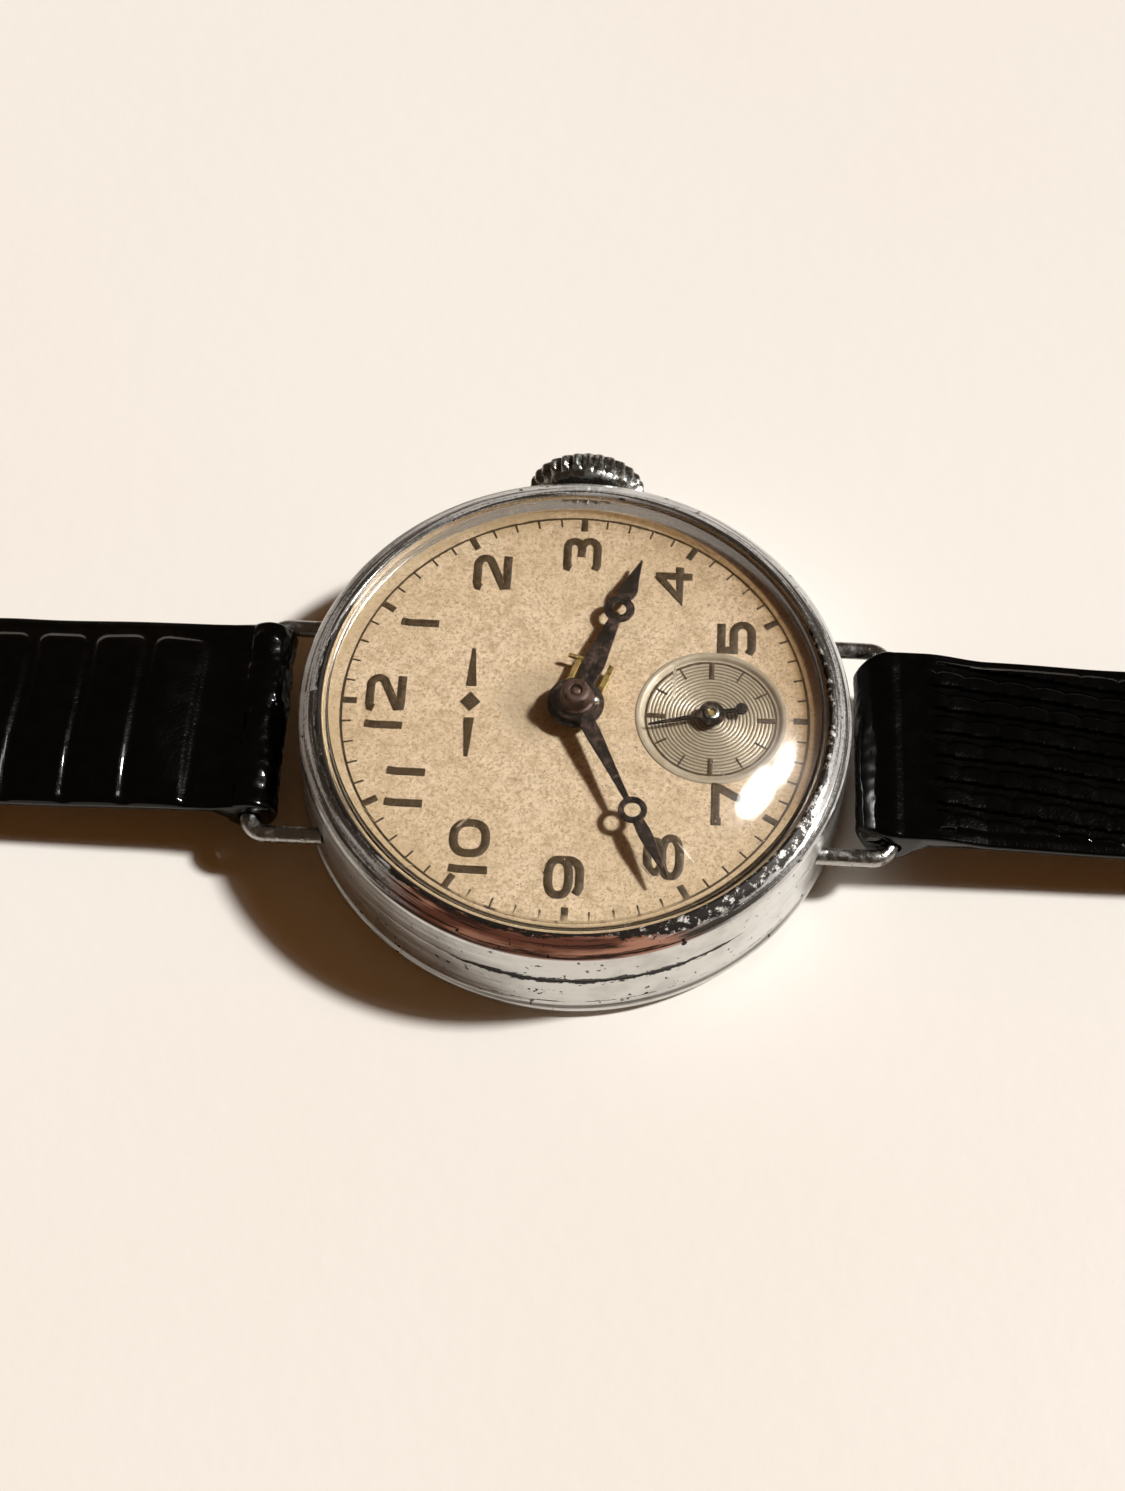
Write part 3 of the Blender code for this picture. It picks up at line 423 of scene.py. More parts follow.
class Look:
    """One node material. Its coordinates are millimetres in the row frame."""

    def __init__(self, name):
        self.material = bpy.data.materials.new(name)
        self.material.use_nodes = True
        self.tree = self.material.node_tree
        self.shader = self.tree.nodes["Principled BSDF"]
        where = self.field("ShaderNodeTexCoord", "Object", {})
        self.mm = self.vector("SCALE", where, scale=1 / MM)
        self.x, self.y, self.z = self.split(self.mm)

    def put(self, value, target):
        """A number, a colour or another node's output goes into a socket."""
        source = value.socket if isinstance(value, Field) else value
        if isinstance(source, bpy.types.NodeSocket):
            self.tree.links.new(source, target)
        elif target.type == "RGBA":
            target.default_value = (*source, 1.0)
        else:
            target.default_value = source

    def add(self, kind, inputs, **settings):
        """A node with its settings made and its inputs filled."""
        node = self.tree.nodes.new(kind)
        for key, value in settings.items():
            setattr(node, key, value)
        for key, value in inputs.items():
            self.put(value, node.inputs[key])
        return node

    def field(self, kind, output, inputs, **settings):
        """One output of a new node."""
        return Field(self, self.add(kind, inputs, **settings).outputs[output])

    def set(self, **values):
        """The shader's own inputs, named with underscores."""
        for key, value in values.items():
            self.put(value, self.shader.inputs[key.replace("_", " ")])

    def vector(self, operation, first, second=None, scale=None):
        given = {0: first, 1: second, "Scale": scale}
        inputs = {key: value for key, value in given.items() if value is not None}
        output = "Value" if operation in ("LENGTH", "DISTANCE") else "Vector"
        return self.field("ShaderNodeVectorMath", output, inputs, operation=operation)

    def split(self, vector):
        """The three parts of a vector."""
        node = self.add("ShaderNodeSeparateXYZ", {0: vector})
        return [Field(self, part) for part in node.outputs]

    def math(self, operation, first, second=0.0):
        return self.field("ShaderNodeMath", 0, {0: first, 1: second}, operation=operation)

    def most(self, first, *others):
        """The greatest of several values."""
        for other in others:
            first = self.math("MAXIMUM", first, other)
        return first

    def band(self, value, low, high, first=0.0, last=1.0):
        """A smooth step of a value between two limits."""
        inputs = dict(enumerate((value, low, high, first, last)))
        return self.field("ShaderNodeMapRange", 0, inputs, interpolation_type="SMOOTHSTEP")

    def mix(self, share, first, second):
        """The first colour where the share is 0, and the second where it is 1."""
        return self.field("ShaderNodeMix", 2, {"Factor": share, 6: first, 7: second}, data_type="RGBA")

    def noise(self, scale, detail=4.0, roughness=0.55, stretch=(1, 1, 1), where=None):
        """Noise with so many features per millimetre."""
        place = self.vector("MULTIPLY", self.mm if where is None else where, stretch)
        inputs = {"Vector": place, "Scale": scale, "Detail": detail, "Roughness": roughness}
        return self.field("ShaderNodeTexNoise", "Fac", inputs)

    def cells(self, scale, feature="F1"):
        inputs = {"Vector": self.mm, "Scale": scale}
        return self.field("ShaderNodeTexVoronoi", "Distance", inputs, feature=feature)

    def around(self, radius):
        """Coordinates along the circumference, outwards and up, for marks that run round the case."""
        angle = self.math("ARCTAN2", self.y, self.x)
        out = self.math("SQRT", self.math("POWER", self.x, 2.0) + self.math("POWER", self.y, 2.0))
        return self.field("ShaderNodeCombineXYZ", 0, {0: angle * radius, 1: out, 2: self.z}), angle, out

    def toward(self, angle, place):
        """1 at one place round the case, in degrees from 6 o'clock, falling to -1 opposite it."""
        return self.math("COSINE", angle - math.radians(place))

    def level(self):
        """1 where the surface lies flat, 0 where it stands upright."""
        return abs(self.split(self.add("ShaderNodeNewGeometry", {}).outputs["Normal"])[2])

    def scratches(self, scale, length, turns, threshold):
        """Thin straight marks in several directions: 1 on a mark, 0 off it."""
        total = 0.0
        for k, turn in enumerate(turns):
            inputs = {"Vector": self.mm, "Location": (13.7 * k, 5.1 * k, 0.0)}
            inputs["Rotation"] = (0.0, 0.0, math.radians(turn))
            place = self.field("ShaderNodeMapping", 0, inputs)
            mark = self.noise(scale, 2.0, 0.5, (1 / length, 1.0, 0.2), place)
            total = self.math("MAXIMUM", total, self.band(mark, threshold, threshold + 0.04))
        return total

    def bump(self, *layers):
        """Chain of bumps: each layer is a height (0 to 1) and the depth it stands for, in millimetres."""
        inputs = {"Strength": 1.0}
        for height, depth in layers:
            inputs.update({"Distance": depth * MM, "Height": height})
            inputs["Normal"] = self.field("ShaderNodeBump", 0, inputs)
        self.set(Normal=inputs["Normal"])


def worn_chrome(name, wear):
    """Chrome plate with satin walls, pits and grimy seams. Where `wear` is 1 it also has a reddish-brown
    streaked band on one side of the bezel top, and is crusted beside the crystal with pale specks painted in
    the crust as glints of the lamp."""
    look = Look(name)
    along, angle, out = look.around(CASE_R)
    front = look.toward(angle, FRONT_BAND_AT)
    patches = look.noise(0.35, 3.0, 0.6)
    brushed = look.noise(1.0, 5.0, 0.65, (0.07, 3.0, 3.0), along)
    plate = look.mix(look.band(patches, 0.42, 0.68), (0.66, 0.66, 0.645), (0.52, 0.515, 0.50))
    top = look.band(look.z, BEZEL_TOP - 0.62, BEZEL_TOP - 0.48) * wear
    plate = look.mix(top * look.band(brushed, 0.47, 0.6), plate, (0.2, 0.185, 0.165))
    fine = look.noise(6.5, 4.0, 0.7)
    coarse = look.noise(2.1, 4.0, 0.55)
    cloud = look.noise(0.5, 3.0, 0.6)
    ragged = look.noise(1.6, 6.0, 0.75, (0.35, 1.0, 1.0), along)
    flank = abs(look.toward(angle, CRUST_AT) - 1.0)
    spread = look.band(flank, 0.04, 0.14, 0.5, 0.0)
    near_side = look.band(look.math("SINE", angle), 0.55, 0.1)
    reach = (look.band(ragged, 0.32, 0.66, 0.1, 0.5) + spread) * near_side
    beside = out - BEZEL_LIP - reach
    crust = top * look.band(beside, 0.03, -0.03)
    # Painted highlights: pale specks in the crust stand for glints of the lamp on the bezel, and grow towards
    # +X, the lamp's side.
    glint_islands = look.noise(2.0, 6.0, 0.8) + look.band(look.x, -4.0, 8.0, -0.09, 0.02)
    specks = crust * look.band(glint_islands, 0.555, 0.6)
    streaks = look.noise(1.1, 5.0, 0.7, (0.10, 3.0, 3.0), along)
    hue = look.noise(0.9, 3.0, 0.5, (0.2, 1.6, 1.6), along)
    centred = front + look.band(streaks, 0.3, 0.7, -0.06, 0.06)
    # A reddish-brown streaked band, not metallic, across the bezel top on the side towards 9 o'clock.
    front_band = top * look.band(centred, 0.78, 0.9)
    band_colour = look.mix(look.band(hue, 0.42, 0.64), (0.13, 0.048, 0.030), (0.42, 0.21, 0.14))
    band_colour = look.mix(look.band(streaks, 0.50, 0.57), band_colour, (0.035, 0.017, 0.012))
    seam_height = abs(look.z - SEAM_Z)
    foot_height = abs(look.z - (BACK_SEAM_Z + SEAM_GAP))
    chewed = look.noise(2.2, 5.0, 0.7, (0.5, 1.0, 1.0), along)
    seam_reach = look.band(look.toward(angle, OPEN_SEAM_AT), 0.80, 0.97, 0.07, 0.36)
    seam_reach = seam_reach * look.band(chewed, 0.3, 0.68, 0.55, 1.45)
    seam = look.band(seam_height - seam_reach, 0.0, -0.03)
    foot_reach = look.band(chewed, 0.42, 0.58, 0.09, 0.26) * look.band(front, 0.2, 0.6)
    foot = look.band(foot_height - foot_reach, 0.0, -0.03)
    pits = look.band(coarse, 0.655, 0.67) * look.band(cloud, 0.4, 0.5)
    pits = look.most(pits, look.band(fine, 0.7, 0.72) * 0.8)
    dark = look.most(pits, look.most(seam, foot) * wear)
    colour = look.mix(front_band, plate, band_colour)
    colour = look.mix(look.most(dark, crust), colour, (0.016, 0.012, 0.009))
    # The painted glints go on last, pale grey.
    colour = look.mix(specks, colour, (0.60, 0.58, 0.54))
    worn = look.most(dark, crust, front_band)
    dull = top * look.band(brushed + fine * 0.3, 0.6, 0.7, 0.62, 0.1)
    metal = 1.0 - look.most(dull, worn * 0.85)
    look.set(Base_Color=colour, Metallic=metal, Specular_IOR_Level=look.band(worn, 0.0, 1.0, 0.5, 0.15))
    wall = look.band(look.z, BEZEL_TOP - 0.6, BEZEL_TOP - 0.9)
    satin = look.band(brushed, 0.35, 0.7, 0.12, 0.24) + wall * 0.16
    look.set(Roughness=look.most(satin, worn * 0.42))
    marks = look.scratches(2.2, 14.0, (12, 74, 131), 0.71)
    hollow = look.most(dark, crust, marks * 0.2)
    look.bump((1.0 - hollow, 0.03), (brushed, 0.03), (look.noise(0.9, 3.0), 0.02))
    return look.material


def tarnished_steel(name, colour=(0.52, 0.51, 0.49), grime_share=0.56):
    look = Look(name)
    patches = look.noise(1.1, 5.0, 0.65)
    stain = look.band(patches, grime_share, grime_share + 0.12)
    base = look.mix(look.noise(3.0, 3.0), colour, tuple(0.72 * c for c in colour))
    look.set(Base_Color=look.mix(stain, base, (0.07, 0.055, 0.04)))
    look.set(Metallic=look.band(stain, 0.0, 1.0, 1.0, 0.45))
    look.set(Roughness=look.band(look.noise(2.3, 4.0), 0.3, 0.75, 0.16, 0.42))
    look.bump((patches, 0.05), (look.noise(7.0, 3.0), 0.02))
    return look.material


def dial_paint(name):
    """Cream dial paint with patina, specks, fine scuffs, a soft stain beside the hands and painted shade
    towards the rim.
    """
    look = Look(name)
    blotch = look.noise(0.16, 4.0, 0.6)
    mottle = look.noise(1.4, 5.0, 0.62)
    grain = look.noise(5.5, 5.0, 0.85)
    base = look.mix(look.band(blotch, 0.38, 0.66), (0.93, 0.76, 0.55), (0.83, 0.66, 0.455))
    base = look.mix(look.band(mottle, 0.42, 0.72), base, (0.66, 0.51, 0.33))
    base = look.mix(look.band(grain, 0.46, 0.62, 0.0, 0.95), base, (0.46, 0.33, 0.19))
    _, _, out = look.around(DIAL_R)
    # Painted shade: the paint darkens towards the rim, for the shade under the bezel and the crystal's wall.
    rim = look.band(out + look.band(blotch, 0.3, 0.7, -0.7, 0.7), 11.9, 13.6, 0.0, 0.6)
    base = look.mix(rim, base, (0.60, 0.46, 0.27))
    stain_at = look.vector("DISTANCE", look.mm, (-1.7, 0.4, DIAL_TOP))
    reach = stain_at + look.band(mottle, 0.3, 0.7, -0.6, 0.6)
    base = look.mix(look.band(reach, 1.3, 2.9, 0.55, 0.0), base, (0.42, 0.33, 0.22))
    specks = look.band(look.cells(2.6), 0.13, 0.06)
    sparse = look.band(look.noise(0.9, 2.0), 0.46, 0.54)
    dust = look.band(look.noise(4.6, 4.0, 0.85), 0.60, 0.66)
    dark = look.most(specks * sparse, dust * 0.8)
    scuffs = look.scratches(2.6, 5.0, (80, 92, 118), 0.735)
    dark = look.most(dark, scuffs * 0.3)
    look.set(Base_Color=look.mix(dark, base, (0.20, 0.125, 0.06)), Specular_IOR_Level=0.35)
    look.set(Roughness=look.band(mottle, 0.3, 0.7, 0.42, 0.6))
    look.bump((1.0 - dark, 0.012), (grain, 0.01), (blotch, 0.03))
    return look.material


def dial_print(name):
    """Dark olive-brown relief paint, rubbed through to cream in places and worn at the crownless side."""
    look = Look(name)
    patches = look.noise(2.6, 5.0, 0.65)
    colour = look.mix(look.band(patches, 0.35, 0.65), (0.032, 0.018, 0.005), (0.066, 0.038, 0.012))
    _, _, out = look.around(DIAL_R)
    chips = look.band(look.noise(4.5, 4.0, 0.7), 0.665, 0.71)
    edge = look.band(out, 12.1, 12.5)
    side = look.band(look.y, -10.3, -12.0)
    worn = edge * side * look.band(look.noise(1.2, 3.0), 0.3, 0.5)
    look.set(Base_Color=look.mix(look.most(chips, worn), colour, (0.52, 0.4, 0.25)))
    look.set(Roughness=look.band(patches, 0.3, 0.7, 0.35, 0.55))
    look.bump((look.noise(6.0, 4.0, 0.7), 0.02))
    return look.material


def subdial_plate(name):
    """Silvered plate whose turned grooves have darkened."""
    look = Look(name)
    place = look.vector("SUBTRACT", look.mm, (SUBDIAL_X, 0.0, DIAL_TOP))
    flat = look.vector("MULTIPLY", place, (1.0, 1.0, 0.0))
    out = look.vector("LENGTH", flat)
    turn = look.math("FRACT", (out - GROOVES_FROM) / SUBDIAL_GROOVE)
    groove = look.band(abs(turn - 0.35), 0.28, 0.1)
    groove = groove * look.band(out, 3.42, 3.36)
    patches = look.noise(0.9, 4.0, 0.6)
    colour = look.mix(look.band(patches, 0.35, 0.7), (0.50, 0.44, 0.34), (0.40, 0.335, 0.24))
    colour = look.mix(groove * look.band(patches, 0.3, 0.7, 0.9, 0.65), colour, (0.13, 0.1, 0.06))
    dust = look.band(look.noise(6.0, 3.0, 0.8), 0.67, 0.72)
    look.set(Base_Color=look.mix(dust, colour, (0.22, 0.15, 0.08)), Metallic=0.12)
    look.set(Roughness=look.band(patches, 0.3, 0.7, 0.40, 0.52))
    look.bump((look.noise(8.0, 3.0), 0.006))
    return look.material


def blackened_steel(name, rust=0.5):
    """Oxidised hand steel: near black, with rust blooms and bright chips."""
    look = Look(name)
    patches = look.noise(2.2, 5.0, 0.7)
    bloom = look.band(patches, 0.62 - 0.22 * rust, 0.74 - 0.22 * rust)
    chips = look.band(look.noise(5.0, 4.0, 0.8), 0.69, 0.73)
    colour = look.mix(bloom, (0.018, 0.014, 0.011), (0.055, 0.024, 0.015))
    colour = look.mix(chips, colour, (0.55, 0.50, 0.44))
    look.set(Base_Color=colour, Metallic=look.band(bloom, 0.0, 1.0, 0.75, 0.15))
    look.set(Roughness=look.band(patches, 0.3, 0.7, 0.28, 0.62))
    look.bump((patches, 0.05), (look.noise(9.0, 3.0, 0.7), 0.015))
    return look.material


def aged_brass(name, colour=(0.62, 0.45, 0.17)):
    look = Look(name)
    patches = look.noise(1.2, 5.0, 0.6)
    tarnish = look.band(patches, 0.50, 0.72)
    look.set(Base_Color=look.mix(tarnish, colour, tuple(0.42 * c for c in colour)), Metallic=1.0)
    look.set(Roughness=look.band(patches, 0.3, 0.7, 0.22, 0.45))
    look.bump((look.scratches(3.0, 10.0, (20, 100), 0.66), 0.006), (look.noise(6.0, 3.0), 0.008))
    return look.material


def striped_nickel(name):
    """Nickel-plated movement parts with fine finishing stripes."""
    look = Look(name)
    inputs = {"Vector": look.mm, "Scale": 0.16, "Distortion": 0.15}
    stripes = look.field("ShaderNodeTexWave", "Fac", inputs, wave_type="BANDS", wave_profile="SAW")
    patches = look.noise(0.9, 4.0)
    look.set(Base_Color=look.mix(look.band(patches, 0.4, 0.7), (0.66, 0.63, 0.56), (0.52, 0.49, 0.42)))
    look.set(Metallic=1.0, Roughness=look.band(stripes, 0.0, 1.0, 0.20, 0.38))
    look.bump((stripes, 0.010), (look.noise(7.0, 3.0), 0.006))
    return look.material


def crystal_look(name):
    """Clear acrylic with hairline scratches; light passes straight through it to the dial. Its upright walls,
    mostly on the side between 6 and 3 o'clock, are painted dark brown and tint the light through them, as
    painted shade on the dial's rim there.
    """
    look = Look(name)
    marks = look.scratches(2.0, 14.0, (8, 47, 95, 140), 0.735)
    smears = look.noise(0.5, 3.0)
    look.set(Transmission_Weight=1.0, IOR=1.49, Coat_Weight=0.5, Coat_Roughness=0.12)
    look.bump((1.0 - marks, 0.006), (smears, 0.01))
    _, angle, _ = look.around(CRYSTAL_R)
    # Painted shade: the upright walls are coloured dark brown, mostly between 6 and 3 o'clock, and so is the
    # light let through them.
    shade_side = look.band(look.toward(angle, 50), 0.0, 0.6)
    wall = look.band(look.level(), 0.93, 0.70) * look.band(shade_side, 0.0, 1.0, 0.12, 1.0)
    soft = look.band(smears, 0.3, 0.7, 0.02, 0.04) + marks * 0.2
    look.set(Base_Color=look.mix(wall, (0.975, 0.965, 0.94), (0.50, 0.44, 0.36)))
    look.set(Roughness=soft + wall * 0.22)
    tint = look.mix(wall, (0.975, 0.97, 0.96), (0.60, 0.53, 0.44))
    clear = look.add("ShaderNodeBsdfTransparent", {"Color": tint})
    paths = look.add("ShaderNodeLightPath", {}).outputs
    straight = look.most(paths["Is Shadow Ray"], paths["Is Diffuse Ray"])
    both = look.add("ShaderNodeMixShader", {0: straight, 1: look.shader.outputs[0], 2: clear.outputs[0]})
    look.put(both.outputs[0], look.tree.nodes["Material Output"].inputs["Surface"])
    return look.material


def patent_leather(name):
    """Black glazed leather: crinkled pores under a hard gloss, with specks of dust."""
    look = Look(name)
    crinkle = look.cells(3.4, "DISTANCE_TO_EDGE")
    pores = look.noise(7.0, 4.0, 0.65)
    swell = look.noise(0.9, 3.0, 0.55)
    dust = look.band(look.noise(4.5, 5.0, 0.8), 0.75, 0.80)
    colour = look.mix(look.band(swell, 0.35, 0.7), (0.0004, 0.0004, 0.0004), (0.0009, 0.0008, 0.0008))
    look.set(Base_Color=look.mix(dust, colour, (0.03, 0.027, 0.024)))
    look.set(Roughness=look.band(swell, 0.3, 0.75, 0.24, 0.34), Specular_IOR_Level=0.03)
    look.set(Coat_Weight=0.55, Coat_Roughness=0.035, Coat_IOR=1.5)
    look.bump((swell, 0.05), (look.band(crinkle, 0.0, 0.12), 0.0035), (pores, 0.0035))
    return look.material


def lining_leather(name):
    """Brown lining leather with a nap; its cut edge is inked black."""
    look = Look(name)
    fibre = look.noise(5.0, 6.0, 0.75, (0.5, 1.6, 1.0))
    patches = look.noise(0.35, 4.0, 0.6)
    colour = look.mix(look.band(patches, 0.35, 0.7), (0.150, 0.082, 0.045), (0.085, 0.045, 0.025))
    colour = look.mix(look.band(fibre, 0.45, 0.7, 0.0, 0.6), colour, (0.22, 0.13, 0.075))
    inked = look.band(look.level(), 0.75, 0.55)
    look.set(Base_Color=look.mix(inked, colour, (0.003, 0.003, 0.003)), Specular_IOR_Level=0.15)
    look.set(Roughness=look.band(inked, 0.0, 1.0, 0.78, 0.38), Sheen_Weight=0.1, Sheen_Roughness=0.5)
    look.bump((fibre, 0.04), (look.cells(2.6, "DISTANCE_TO_EDGE"), 0.03))
    return look.material


def table_look(name):
    look = Look(name)
    cloud = look.noise(0.012, 3.0, 0.5)
    base = look.mix(look.band(cloud, 0.35, 0.7), (0.885, 0.855, 0.800), (0.865, 0.825, 0.760))
    scuff = look.band(look.noise(0.09, 6.0, 0.75), 0.66, 0.76, 0.0, 0.20)
    look.set(Base_Color=look.mix(scuff, base, (0.62, 0.56, 0.48)), Roughness=0.42, Specular_IOR_Level=0.4)
    look.bump((look.noise(0.6, 4.0), 0.02))
    return look.material


CHROME = worn_chrome("worn_chrome", 1.0)
PLAIN_CHROME = worn_chrome("plain_chrome", 0.0)
STEEL = tarnished_steel("tarnished_steel")
POLISHED = tarnished_steel("polished_steel", (0.72, 0.71, 0.70), 0.68)
CROWN_METAL = tarnished_steel("worn_crown", (0.40, 0.40, 0.38), 0.50)
DIAL_PAINT = dial_paint("dial_paint")
PRINT = dial_print("dial_print")
SUBDIAL = subdial_plate("subdial_plate")
BLACKENED = blackened_steel("blackened_steel", 0.5)
RUSTY = blackened_steel("rusty_steel", 1.25)
BRASS = aged_brass("aged_brass")
NICKEL = striped_nickel("striped_nickel")
CRYSTAL = crystal_look("acrylic_crystal")
LEATHER = patent_leather("patent_leather")
LINING = lining_leather("lining_leather")

SLOT_LOOKS = {
    "chrome_case": PLAIN_CHROME,
    "steel": STEEL,
    "blued_steel": BLACKENED,
    "brass": BRASS,
    "nickel_plate": NICKEL,
    "dial_paint": DIAL_PAINT,
    "crystal": CRYSTAL,
    "strap_leather": LEATHER,
    "lining_leather": LINING,
}


# Case

def crown_bore(radius):
    """A cutter for the round opening in the case wall that the crown tube passes through."""
    return laid_along_y(prism([ring_points(radius, 40)], 11.0, 17.0))


def make_case():
    middle = [(BORE_R, SEAT_Z), (RIM_R, SEAT_Z), (RIM_R, SEAM_Z - SEAM_GAP)]
    middle += offset(CASE_R, SEAM_Z, [(-0.16, -SEAM_GAP), (-0.08, -0.14)])
    middle += [(CASE_R - 0.02, 2.6), (CASE_R + 0.05, 1.56), (CASE_R - 0.06, BACK_SEAM_Z)]
    middle += [(RIM_R, BACK_SEAM_Z), (RIM_R, 0.9), (BORE_R, 0.9)]
    case = add_piece("case_middle", *lathe(soften(middle, 0.07)), CHROME, "case", "chrome_case")
    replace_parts(carve(case, crown_bore(TUBE_HOLE_R)), "mid_case")

    bezel = offset(BEZEL_LIP, BEZEL_TOP, [(0, -0.10), (0.05, 0.06), (0.13, 0.15), (0.24, 0.16)])
    bezel += offset(BEZEL_LIP, BEZEL_TOP, [(0.55, 0.02), (0.90, -0.18)])
    bezel += offset(CASE_R, BEZEL_TOP, [(-0.22, -0.36), (-0.08, -0.56), (-0.05, -0.80)])
    bezel += [(CASE_R, 4.9), (CASE_R, SEAM_Z + 0.10), (CASE_R - 0.10, SEAM_Z), (NECK_R, SEAM_Z)]
    bezel += [(NECK_R, SEAT_Z + SEAM_GAP), (BEZEL_LIP, SEAT_Z + SEAM_GAP)]
    ring = add_piece("bezel_ring", *lathe(soften(bezel, 0.05, 3)), CHROME, "case", "chrome_case")
    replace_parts(carve(ring, crown_bore(TUBE_HOLE_R + SEAM_GAP)), "bezel")

    back = [(0, 0.6), (NECK_R, 0.6), (NECK_R, BACK_SEAM_Z - SEAM_GAP)]
    back += [(CASE_R - 0.08, BACK_SEAM_Z - SEAM_GAP), (CASE_R - 0.04, 1.02)]
    back += offset(BACK_R, 0, [(-0.03, 0.82), (0, 0.66), (-0.03, 0.52)])
    back += [(14.9, 0.27), (13.9, 0.06), (13.3, 0.0)]
    back += [(11.2, 0.0), (11.1, 0.10), (10.9, 0.10), (10.8, 0.0), (0, 0)]
    cover = add_piece("snap_back", *lathe(soften(back, 0.06)), PLAIN_CHROME, "case", "chrome_case")
    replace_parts(cover, "case_back")


def dome(radius):
    """Height of the crystal's outer face."""
    return CRYSTAL_TOP - CRYSTAL_DROP * (radius / 13.5) ** 4


def make_crystal():
    wall = 0.35
    outer = CRYSTAL_R
    inner = outer - wall
    radii = [outer * (i / 30) for i in range(30)]
    rim = [(outer - 0.22, dome(outer - 0.22)), (outer - 0.06, dome(outer - 0.06) - 0.05), (outer, SHOULDER_Z)]
    profile = [(outer, CRYSTAL_LOW), (inner, CRYSTAL_LOW)]
    profile += offset(inner, SHOULDER_Z, [(0, -0.26), (-0.10, -0.06)])
    profile += [(r, dome(r) - wall) for r in reversed(radii) if r < 12.7]
    profile += [(r, dome(r)) for r in radii if r < outer - 0.3]
    profile += rim
    glass = add_piece("domed_crystal", *lathe(profile, 192), CRYSTAL, "case", "crystal", sharp=30)
    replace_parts(glass, "crystal")


def make_lug_wires():
    bend = 1.0
    section = ring_points(WIRE_R, 28)
    start = math.sqrt(CASE_R ** 2 - LUG_HALF ** 2) - 0.25
    for hour, side, shift in (("12", -1, -0.3), ("6", 1, 0.0)):
        path = [(start, -LUG_HALF), (start + 0.5, -LUG_HALF), (start + 1.4, -LUG_HALF)]
        path += arc((LUG_X - bend, bend - LUG_HALF), bend, -90, 0, 14)
        path += [(LUG_X, y) for y in np.linspace(bend - LUG_HALF, LUG_HALF - bend, 24)[1:-1]]
        path += arc((LUG_X - bend, LUG_HALF - bend), bend, 0, 90, 14)
        path += [(start + 1.4, LUG_HALF), (start + 0.5, LUG_HALF), (start, LUG_HALF)]
        path = [(side * x, y + shift, LUG_Z) for x, y in path]
        wire = add_piece(f"wire_lug_{hour}", *sweep(path, section, (0, 0, 1)), STEEL, "case", "steel")
        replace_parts(wire, f"lug_wire_{hour}")


# Dial

def make_dial():
    loops = [
        ring_points(DIAL_R, 240),
        ring_points(0.95, 48),
        ring_points(SUBDIAL_R, 160, (SUBDIAL_X, 0.0)),
    ]
    feet = [(10.4 * math.cos(a), 10.4 * math.sin(a)) for a in (math.radians(48), math.radians(228))]
    under = DIAL_TOP - DIAL_THICK
    shapes = [prism(loops, under, DIAL_TOP)]
    foot = [(0, DIAL_FEET_LOW), (0.35, DIAL_FEET_LOW), (0.35, under - 0.01), (0, under - 0.01)]
    shapes += [lathe(foot, 24, place) for place in feet]
    face = add_piece("dial_face", *merge(shapes), DIAL_PAINT, "case", "dial_paint")
    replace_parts(face, "dial")

    floor = DIAL_TOP - SUBDIAL_SINK
    groove = SUBDIAL_GROOVE
    profile = [(0.45, under), (0.45, floor)]
    radius = GROOVES_FROM
    while radius < GROOVES_TO:
        profile += offset(radius, floor, [(0, 0), (0.35 * groove, -0.035), (0.7 * groove, 0)])
        radius += groove
    profile += offset(0, floor, [(3.45, 0), (3.62, 0), (3.68, 0.02)])
    profile += offset(0, DIAL_TOP, [(3.80, 0.02), (3.86, 0.05), (3.96, 0.06), (4.06, 0.05), (4.12, 0.005)])
    profile += [(3.985, DIAL_TOP + 0.002), (3.985, under)]
    plate = lathe(profile, 200, (SUBDIAL_X, 0.0))
    add_piece("seconds_subdial", *plate, SUBDIAL, "case", "dial_paint", sharp=25)


def stroke(points, width, low, high, closed=False):
    """A raised line of paint along a flat path of (right, up) points, with bevelled upper edges."""
    count = len(points)
    lip = 0.25 * width
    sides = []
    for i, point in enumerate(points):
        here = Vector(point)
        if closed:
            before, after = Vector(points[i - 1]), Vector(points[(i + 1) % count])
        else:
            before, after = Vector(points[max(i - 1, 0)]), Vector(points[min(i + 1, count - 1)])
        first = (here - before).normalized() if (here - before).length > 0 else (after - here).normalized()
        last = (after - here).normalized() if (after - here).length > 0 else first
        mean = (first + last).normalized()
        normal = Vector((-mean.y, mean.x))
        spread = min(1 / max(mean.dot(first), 0.4), 2.2)
        half = width / 2 * spread
        sides.append([
            (*(here + normal * half), low),
            (*(here + normal * half), high - 0.4 * (high - low)),
            (*(here + normal * (half - lip)), high),
            (*(here - normal * (half - lip)), high),
            (*(here - normal * half), high - 0.4 * (high - low)),
            (*(here - normal * half), low),
        ])
    verts = [v for side in sides for v in side]
    faces = grid_faces(count, 6, wrap_rows=closed, wrap_columns=True)
    if not closed:
        faces += [tuple(range(6)), tuple(range(6 * (count - 1), 6 * count))]
    return verts, faces


def oval(centre, half_width, half_height):
    return squarish(half_width, half_height, (0.8, 0.8), 44, centre)


